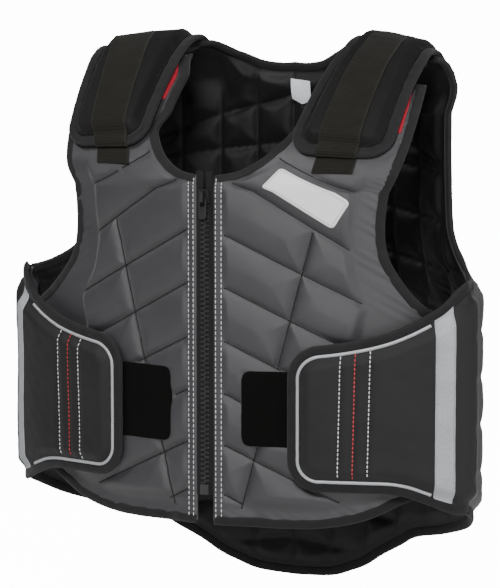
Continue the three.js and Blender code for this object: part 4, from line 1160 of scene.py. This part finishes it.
class VEST_OT_back(bpy.types.Operator):
    """Build the blocked back panel and its bindings"""

    bl_idname = "vest.back"
    bl_label = "Back panel"

    def execute(self, context):
        a, b = back_grid(context.scene.vest_quilt.back_step)
        top, bottom = back_heights(a, b)
        cloth = Cloth()
        padded_shell(cloth, back_face, a, b, top, bottom, lining=1)
        panel = cloth.build("blocked_back")
        # The back panel's inner face takes the lining colour that carries painted shade.
        dress(panel, ["Outer nylon", "Inner nylon with painted shade"], ["back_panel"])
        arm = BACK_ARM[:-1]
        upper = np.vstack([arm[::-1], BACK_NECK[::-1]])
        upper = np.vstack([upper, upper[::-1] * np.array([-1, 1])])
        edge = Cloth()
        tape_ring(edge, back_face, resample(upper, 3.0), back_middle, seed=31)
        binding = edge.build("back_edge_tape")
        dress(binding, ["Edge tape with painted shade"], ["back_binding"])
        tail = np.vstack([TAIL * np.array([-1, 1]), TAIL[::-1]])
        edge = Cloth()
        tape_ring(edge, back_face, resample(tail, 3.0), back_middle, seed=33)
        binding = edge.build("tail_edge_tape")
        dress(binding, ["Edge tape with painted shade"], ["tail_binding"])
        return {"FINISHED"}


class VEST_OT_flaps(bpy.types.Operator):
    """Build the waist flaps with their piping, stitching and reflective bands"""

    bl_idname = "vest.flaps"
    bl_label = "Waist flaps"

    def execute(self, context):
        step = context.scene.vest_quilt.band_step
        stitch = context.scene.vest_stitch
        for side, sign in SIDES.items():
            self.flap(side, sign, step, stitch)
        return {"FINISHED"}

    def flap(self, side, sign, step, stitch):
        mirror = sign < 0
        reach = FLAP_REACH[sign]
        front, upper, lower = flap_edges(reach)
        _, top = flap_heights(reach, 51 if mirror else 61)
        tuck = 2.5
        a = np.linspace(front + tuck, FRONT.total - 0.2, int((FRONT.total - front) / step))
        t = np.linspace(0, 1, int(165 / step))
        b = mix(lower(a)[None, :] + tuck, upper(a)[None, :] - tuck, t[:, None])
        a = np.broadcast_to(a[None, :], b.shape)
        cloth = Cloth()
        padded_shell(cloth, front_face, a, b, top(a, b), np.full(b.shape, FLAP_RISE))
        panel = cloth.build(f"padded_flap_{side}", mirror)
        dress(panel, ["Flap nylon", "Lining mesh"], [f"waist_flap_{side}"])

        edge = Cloth()
        middle = FLAP_RISE + MARGIN / 2
        tape_ring(edge, front_face, flap_outline(reach), middle, half=2.7, seed=70 + sign)
        binding = edge.build(f"flap_edge_tape_{side}", mirror)
        dress(binding, ["Edge tape with painted shade"], [f"flap_binding_{side}"])

        piping = Cloth()
        path = flap_outline(reach, inset=PIPING_INSET)
        path = path[path[:, 0] < FRONT.total - PIPING_STOP]
        cord_along(piping, front_face, path, lambda p, q: top(p, q) + 0.3, 1.7)
        trim = piping.build(f"flap_piping_{side}", mirror)
        dress(trim, ["Reflective piping"], [])

        band = Cloth()
        middle_at = FRONT.total - BAND["set"]
        across = np.linspace(BAND["front"][sign], BAND["rear"], 15)
        along = np.linspace(0.045, 0.955, 90)
        pa = middle_at + across[None, :] + 0 * along[:, None]
        pb = mix(upper(pa), lower(pa), along[:, None])
        rim = np.minimum(across - across[0], across[-1] - across)
        face = top(pa, pb) + 1.1 - 0.9 * (rim < 0.5)
        cloth_uv = np.stack([pa, pb], -1)
        band.grid(lift(front_face, pa, pb, face), cloth_uv, flip=True)
        strip = band.build(f"reflective_band_{side}", mirror)
        dress(strip, ["Reflective band"], [f"reflective_strip_{side}"])

        thread = Cloth()
        for set_back, colour in FLAP_SEAMS:
            rows = np.linspace(0.085, 0.915, 40)
            at = front + set_back
            height = mix(upper(np.full(40, at)), lower(np.full(40, at)), rows)
            path = np.stack([at + 0.02 * height, height], -1)
            mark = 1 if colour == "red" else 0
            stitch_run(thread, front_face, path, lambda p, q: top(p, q) + 0.2,
                       millimetres(stitch.flap_pitch), 3.0, millimetres(stitch.thread), mark)
        stitch_run(thread, front_face, flap_outline(reach, inset=FLAP_STITCH_INSET)[2:-2],
                   FLAP_RISE + MARGIN / 2 + 2.5, 3.4, 2.5, 0.3, 2)
        for edge_at in (across[0] + 1.4, across[-1] - 1.4):
            height = mix(upper(np.full(40, middle_at + edge_at)), lower(np.full(40, middle_at + edge_at)),
                         np.linspace(0.06, 0.94, 40))
            path = np.stack([np.full(40, middle_at + edge_at), height], -1)
            stitch_run(thread, front_face, path, lambda p, q: top(p, q) + 1.2, 3.2, 2.4, 0.3, 3)
        seams = thread.build(f"flap_stitching_{side}", mirror)
        colours = ["White thread", "Red thread", "Black thread", "Reflective piping"]
        dress(seams, colours, [])


class VEST_OT_patches(bpy.types.Operator):
    """Build the loop patches that the flaps fasten to"""

    bl_idname = "vest.patches"
    bl_label = "Loop patches"

    def execute(self, context):
        for side, sign in SIDES.items():
            start = float(FRONT.along(38.0))
            share = np.linspace(0, 1, 70)
            away = share * 110
            inset = np.where(away < 9, 9 - np.sqrt(np.maximum(0, 81 - (9 - np.minimum(away, 9)) ** 2)), 0)
            t = np.linspace(0, 1, 46)
            b = -303 - mix(inset[None, :], 73 - inset[None, :], t[:, None])
            a = np.broadcast_to(start + away[None, :], b.shape)
            rim = np.minimum(np.minimum(a - start, -303 - b), b + 376)
            x = np.interp(a, FRONT.s, FRONT.x)
            base = front_top(x, b, sign)
            top = 0.5 * np.clip(base, -1.0, 0.3) + 1.5 - 0.9 * (rim < 1.0) + 0.1 * ripple(a, b, 5, 91)
            cloth = Cloth()
            padded_shell(cloth, front_face, a[::-1], b[::-1], top[::-1], (top - 4)[::-1])
            patch = cloth.build(f"pile_patch_{side}", sign < 0)
            dress(patch, ["Loop pile", "Loop pile"], [f"loop_patch_{side}"])
        return {"FINISHED"}


class VEST_OT_shoulders(bpy.types.Operator):
    """Build the shoulder pads, their straps and the tapes below them"""

    bl_idname = "vest.shoulders"
    bl_label = "Shoulder pads"

    def execute(self, context):
        step = context.scene.vest_quilt.band_step
        for side, sign in SIDES.items():
            self.pad(side, sign, step)
        return {"FINISHED"}

    def pad(self, side, sign, step):
        mirror = sign < 0
        reach = PAD_REACH[sign]
        seed = 101 if mirror else 111
        tuck = 2.0
        q = np.linspace(-PAD_REAR + tuck, reach - tuck, int((reach + PAD_REAR) / step))
        away = np.clip(PAD_CORNER - np.minimum(q + PAD_REAR, reach - q), 0, PAD_CORNER)
        inset = PAD_CORNER - np.sqrt(PAD_CORNER**2 - away**2) + tuck
        u = np.linspace(0, 1, int(97 / step))
        x = mix(PAD_INNER + inset[:, None], PAD_OUTER - inset[:, None], u)
        q = np.broadcast_to(q[:, None], x.shape)
        cloth = Cloth()
        padded_shell(cloth, pad_face, x, q, pad_top(x, q, reach, seed), pad_under(q) + 0 * x)
        pad = cloth.build(f"padded_shoulder_{side}", mirror)
        dress(pad, ["Pad nylon", "Lining mesh"], [f"shoulder_pad_{side}"])

        edge = Cloth()
        outline = pad_outline(reach)
        tape_ring(edge, pad_face, outline, lambda a, b: pad_under(b) + MARGIN / 2, loop=True, seed=120 + sign)
        binding = edge.build(f"shoulder_edge_tape_{side}", mirror)
        dress(binding, ["Edge tape with painted shade"], [f"pad_binding_{side}"])

        strap = Cloth()
        rows = np.linspace(12, reach + 0.8, int((reach - 12) / 1.6))
        rows = np.concatenate([rows, [reach + 1.6, reach + 2.0]])
        across = np.concatenate([[-19.5, -19.5], np.linspace(-19, 19, 26), [19.5, 19.5]])
        over, pq = np.meshgrid(across, rows)
        pa = over + STRAP_ACROSS - STRAP_LEAN[sign] * (pq - STRAP_LEAN_FROM)
        face = np.maximum(pad_top(pa, pq, reach, seed), pad_under(pq) + MARGIN / 2 + 3.2)
        face = mix(face, np.median(face, axis=1, keepdims=True), 0.35)
        drop = smooth((pq - reach + 2.2) / 4.2)
        lip = np.abs(over) > 19.2
        fold = 0.5 * bump(pq - 26, 1.2) + 0.5 * bump(pq - 30, 1.0)
        rise = face + 1.8 - 1.5 * lip - 5.0 * drop + fold + 0.25 * ripple(pa, pq, 30, 131)
        edge_rows = np.minimum(pq - 12, 1.2)
        rise = rise - 1.5 * (1 - edge_rows / 1.2)
        strap.grid(lift(pad_face, pa, pq, rise), np.stack([pa, pq], -1), flip=True)
        tape = strap.build(f"hook_strap_{side}", mirror)
        dress(tape, ["Hook tape"], [f"shoulder_strap_{side}"])

        tab = Cloth()
        rows = np.linspace(reach + 1.5, reach + 20, 16)
        over, pq = np.meshgrid(across, rows)
        pa = over + STRAP_ACROSS - STRAP_LEAN[sign] * (pq - STRAP_LEAN_FROM)
        lip = np.abs(over) > 19.2
        end = smooth((pq - reach - 18.6) / 1.4)
        rise = 1.9 - 1.6 * lip - 1.6 * end + 0.5 * bump(pq - reach - 15.5, 1.1)
        tab.grid(lift(pad_face, pa, pq, rise), np.stack([pa, pq], -1), flip=True)
        tape = tab.build(f"strap_end_{side}", mirror)
        dress(tape, ["Hook tape"], [f"strap_catch_{side}"])

        sewn = Cloth()
        stitch_run(sewn, pad_face, resample(inner_loop(outline, 11.0), 2.2),
                   lambda p, t: pad_top(p, t, reach, seed) + 0.25, 3.2, 2.7, 0.4)
        row = sewn.build(f"shoulder_stitching_{side}", mirror)
        dress(row, ["Black thread"], [])

        red = Cloth()
        h = SHOULDER_END[sign]["top"] - 13 - np.linspace(0, 50, 34)
        inner = np.interp(h, NECK[sign][::-1, 1], NECK[sign][::-1, 0]) + 11
        outer = np.interp(h, ARM[sign][::-1, 1], ARM[sign][::-1, 0]) - 11
        u = np.linspace(0, 1, 60)
        px = mix(inner[:, None], outer[:, None], u)
        ph = np.broadcast_to(h[:, None], px.shape)
        rim = np.minimum(px - inner[:, None], outer[:, None] - px)
        rim = np.minimum(rim, np.minimum(h[0] - ph, ph - h[-1]))
        rise = 1.2 - 0.9 * (rim < 0.8) + 0.15 * ripple(px, ph, 7, 141)
        points = lift(front_face, FRONT.along(px), ph, rise)
        red.grid(points, np.stack([px, ph], -1), flip=True)
        tape = red.build(f"red_tape_{side}", mirror)
        dress(tape, ["Red tape"], [f"red_tab_{side}"])


class VEST_OT_zip(bpy.types.Operator):
    """Build the zip with its teeth, slider and stitching"""

    bl_idname = "vest.zip"
    bl_label = "Zip"

    def execute(self, context):
        stitch = context.scene.vest_stitch
        for side, sign in SIDES.items():
            low, high = (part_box(f"zip_tape_{side}"))
            tape = Cloth()
            rows = np.linspace(low[2], high[2], 120) / MM
            cols = np.linspace(1.2, ZIP_GAP - 0.2, 8)
            px, pz = np.meshgrid(cols, rows)
            py = ZIP_Y - 0.7 + 0.25 * ripple(px, pz, 30, 151) + 0 * px
            points = np.stack([px, py, pz], -1)
            tape.grid(points, np.stack([px, pz], -1))
            tape.grid(points + np.array([0, 1.5, 0]), np.stack([px, pz], -1), flip=True)
            item = tape.build(f"zip_cloth_{side}", sign < 0)
            dress(item, ["Zip tape"], [f"zip_tape_{side}"])

            thread = Cloth()
            for x in (12.0, 17.6):
                path = np.array([(FRONT.along(x), ZIP_TOP - 3), (FRONT.along(x), -HEM_DROP + 3)])

                def height(a, b, sign=sign):
                    return front_top(np.interp(a, FRONT.s, FRONT.x), b, sign) + 0.2

                stitch_run(thread, front_face, path, height,
                           millimetres(stitch.zip_pitch), 3.5, millimetres(stitch.thread) * 0.8)
            item = thread.build(f"zip_stitching_{side}", sign < 0)
            dress(item, ["White thread"], [])
        self.teeth()
        self.hardware()
        return {"FINISHED"}

    def teeth(self):
        low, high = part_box("zip_chain")
        bottom, top = low[2] / MM, high[2] / MM
        chain = Cloth()
        pitch = 2.3
        for k in range(int((top - bottom) / pitch)):
            z = bottom + (k + 0.5) * pitch
            side = 1 if k % 2 else -1
            chain.block((min(0, side * 4.4) - 1.0 * (side > 0), ZIP_Y - 1.4, z - 0.9),
                        (max(0, side * 4.4) + 1.0 * (side < 0), ZIP_Y + 1.4, z + 0.9))
            chain.block((side * 1.0 - 1.3, ZIP_Y - 1.9, z - 0.6), (side * 1.0 + 1.3, ZIP_Y - 1.3, z + 0.6))
        item = chain.build("zip_teeth", smooth_faces=False)
        bevel = item.modifiers.new("Rounded teeth", "BEVEL")
        bevel.width = 0.35 * MM
        bevel.segments = 2
        dress(item, ["Zip plastic"], ["zip_chain"])

    def hardware(self):
        for node, label, width, body in (
            ("zip_box", "bottom_box", 0.9, "vest"),
            ("zip_slider", "slider", 0.45, "vest"),
            ("zip_pull", "pull_tab", 0.35, "pull"),
        ):
            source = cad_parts[node]
            item = bpy.data.objects.new(label, source.data.copy())
            bpy.context.scene.collection.objects.link(item)
            item.matrix_world = source.matrix_world.copy()
            item.data.materials.clear()
            uv = item.data.uv_layers.new(name="cloth")
            for loop in item.data.loops:
                x, _, z = item.data.vertices[loop.vertex_index].co
                uv.data[loop.index].uv = (x, z)
            bevel = item.modifiers.new("Rounded edges", "BEVEL")
            bevel.width = width * MM
            bevel.segments = 3
            bevel.limit_method = "ANGLE"
            dress(item, ["Zip plastic"], [node], body)


class VEST_OT_trims(bpy.types.Operator):
    """Build the bare chest badge and the care label"""

    bl_idname = "vest.trims"
    bl_label = "Badge and label"

    def execute(self, context):
        length, height, corner = BADGE["length"], BADGE["height"], 4.5
        tilt = BADGE["tilt"]

        def rim(u, v):
            du = np.abs(u) - length / 2 + corner
            dv = np.abs(v) - height / 2 + corner
            outside = np.hypot(np.maximum(du, 0), np.maximum(dv, 0))
            return corner - outside - np.minimum(np.maximum(du, dv), 0)

        v = np.linspace(-height / 2, height / 2, 50)
        away = np.clip(corner - (height / 2 - np.abs(v)), 0, corner)
        inset = corner - np.sqrt(corner**2 - away**2)
        u = np.linspace(-1, 1, 110)[None, :] * (length / 2 - inset[:, None])
        v = np.broadcast_to(v[:, None], u.shape)
        x = BADGE["across"] + u * math.cos(tilt) + v * math.sin(tilt)
        h = BADGE["up"] - u * math.sin(tilt) + v * math.cos(tilt)
        edge = rim(u, v)
        rise = 1.9 - 1.6 * (1 - smooth(edge / 0.9))
        plate = Cloth()
        plate.grid(lift(front_face, FRONT.along(x), h, rise), np.stack([u, v], -1))
        angle = np.linspace(0, math.pi / 2, 8)
        border = np.vstack([
            np.stack([cx + (corner - 2.6) * np.cos(angle + t), cy + (corner - 2.6) * np.sin(angle + t)], -1)
            for cx, cy, t in (
                (length / 2 - corner, height / 2 - corner, 0),
                (-length / 2 + corner, height / 2 - corner, math.pi / 2),
                (-length / 2 + corner, -height / 2 + corner, math.pi),
                (length / 2 - corner, -height / 2 + corner, -math.pi / 2),
            )
        ])
        border = np.vstack([border, border[:1]])
        path = np.stack([
            FRONT.along(BADGE["across"] + border[:, 0] * math.cos(tilt) + border[:, 1] * math.sin(tilt)),
            BADGE["up"] - border[:, 0] * math.sin(tilt) + border[:, 1] * math.cos(tilt),
        ], -1)
        stitch_run(plate, front_face, path, 1.85, 1.5, 1.25, 0.3, 1)
        badge = plate.build("bare_badge")
        dress(badge, ["Badge plate", "Badge border"], ["chest_badge"])

        label = Cloth()
        s = np.linspace(-12, 12, 20)
        t = np.linspace(0, 1, 22)
        a = 13 + s[None, :] + 0 * t[:, None]
        b = -20 - t[:, None] * (24 + 7 * (1 - np.abs(s[None, :]) / 12))
        drop = -BACK_PADDING - 1.2 - 1.5 * np.sin(t[:, None] * 3) + 0.6 * ripple(a, b, 22, 161)
        points = lift(back_face, a, b, drop)
        label.grid(points, np.stack([a, b], -1))
        label.grid(lift(back_face, a, b, drop + 0.5), np.stack([a, b], -1), flip=True)
        item = label.build("neck_label")
        dress(item, ["Label cloth"], ["care_label"])
        return {"FINISHED"}


class VEST_OT_stage(bpy.types.Operator):
    """Set the pale floor, the studio light and the camera"""

    bl_idname = "vest.stage"
    bl_label = "Stage"

    def execute(self, context):
        look = context.scene.vest_stage
        self.floor()
        self.lamps(look)
        self.camera(context, look)
        return {"FINISHED"}

    def floor(self):
        cloth = Cloth()
        x, y = np.meshgrid([-9000.0, 9000.0], [-9000.0, 9000.0])
        points = np.stack([x, y, np.full(x.shape, -640.0)], -1)
        cloth.grid(points, points[..., :2])
        floor = cloth.build("pale_floor")
        material = bpy.data.materials.new("Pale paper")
        material.use_nodes = True
        tree = material.node_tree
        shader = tree.nodes["Principled BSDF"]
        shader.inputs["Base Color"].default_value = (0.9, 0.9, 0.9, 1)
        shader.inputs["Roughness"].default_value = 0.9
        shader.inputs["Emission Color"].default_value = (1, 1, 1, 1)
        seen = tree.nodes.new("ShaderNodeLightPath")
        glow = tree.nodes.new("ShaderNodeMath")
        glow.operation = "MULTIPLY"
        glow.inputs[1].default_value = BACKDROP
        tree.links.new(seen.outputs["Is Camera Ray"], glow.inputs[0])
        tree.links.new(glow.outputs[0], shader.inputs["Emission Strength"])
        floor.data.materials.append(material)

    def lamps(self, look):
        world = bpy.data.worlds.new("Studio")
        bpy.context.scene.world = world
        world.use_nodes = True
        world.node_tree.nodes["Background"].inputs["Color"].default_value = (1, 1, 1, 1)
        seen = world.node_tree.nodes.new("ShaderNodeLightPath")
        bright = world.node_tree.nodes.new("ShaderNodeMapRange")
        bright.inputs["To Min"].default_value = ROOM_LIGHT
        bright.inputs["To Max"].default_value = BACKDROP
        world.node_tree.links.new(seen.outputs["Is Camera Ray"], bright.inputs["Value"])
        backdrop = world.node_tree.nodes["Background"]
        world.node_tree.links.new(bright.outputs[0], backdrop.inputs["Strength"])
        middle = Vector((0, 0, -0.25))
        for name, place, size, power in (
            ("Key", (0.7, -2.5, 1.5), 0.8, look.key_power * 1.4),
            ("Fill", (2.6, -0.4, 0.3), 1.4, look.key_power * 0.6),
            ("Top", (-1.3, -1.2, 2.0), 0.9, look.key_power * 0.6),
        ):
            lamp = bpy.data.lights.new(name, "AREA")
            lamp.energy = power
            lamp.shape = "SQUARE"
            lamp.size = size
            item = bpy.data.objects.new(name, lamp)
            bpy.context.scene.collection.objects.link(item)
            item.location = place
            item.rotation_euler = (middle - Vector(place)).to_track_quat("-Z", "Y").to_euler()

    def camera(self, context, look):
        turn, rise = look.azimuth, look.elevation
        target = Vector((-0.003 * math.cos(turn), -0.003 * math.sin(turn), -0.241))
        away = Vector((math.sin(turn) * math.cos(rise), -math.cos(turn) * math.cos(rise), math.sin(rise)))
        lens = bpy.data.cameras.new("Camera")
        lens.sensor_fit = "VERTICAL"
        lens.sensor_height = 36.0
        lens.lens = look.lens
        lens.clip_end = 60
        item = bpy.data.objects.new("Camera", lens)
        context.scene.collection.objects.link(item)
        item.location = target + look.distance * away
        item.rotation_euler = (-away).to_track_quat("-Z", "Y").to_euler()
        context.scene.camera = item


class VEST_PT_panel(bpy.types.Panel):
    """Body protector's settings and steps"""

    bl_label = "Body protector"
    bl_idname = "VEST_PT_panel"
    bl_space_type = "VIEW_3D"
    bl_region_type = "UI"
    bl_category = "Body protector"

    def draw(self, context):
        scene = context.scene
        for group in (scene.vest_quilt, scene.vest_stitch, scene.vest_stage):
            box = self.layout.box()
            for key in group.__annotations__:
                box.prop(group, key)
        for step in STEPS:
            self.layout.operator(step.bl_idname)


SETTINGS = {"vest_quilt": QuiltSettings, "vest_stitch": StitchSettings, "vest_stage": StageSettings}
STEPS = (
    VEST_OT_finishes, VEST_OT_fronts, VEST_OT_back, VEST_OT_flaps, VEST_OT_patches, VEST_OT_shoulders,
    VEST_OT_zip, VEST_OT_trims, VEST_OT_stage,
)


def register():
    for item in (*SETTINGS.values(), *STEPS, VEST_PT_panel):
        bpy.utils.register_class(item)
    for name, group in SETTINGS.items():
        setattr(bpy.types.Scene, name, bpy.props.PointerProperty(type=group))


def unregister():
    for name in SETTINGS:
        delattr(bpy.types.Scene, name)
    for item in reversed((*SETTINGS.values(), *STEPS, VEST_PT_panel)):
        bpy.utils.unregister_class(item)


def main():
    register()
    for step in STEPS:
        result = getattr(bpy.ops.vest, step.bl_idname.split(".")[1])()
        if result != {"FINISHED"}:
            raise RuntimeError(step.bl_label + " did not finish")


if __name__ == "__main__":
    main()
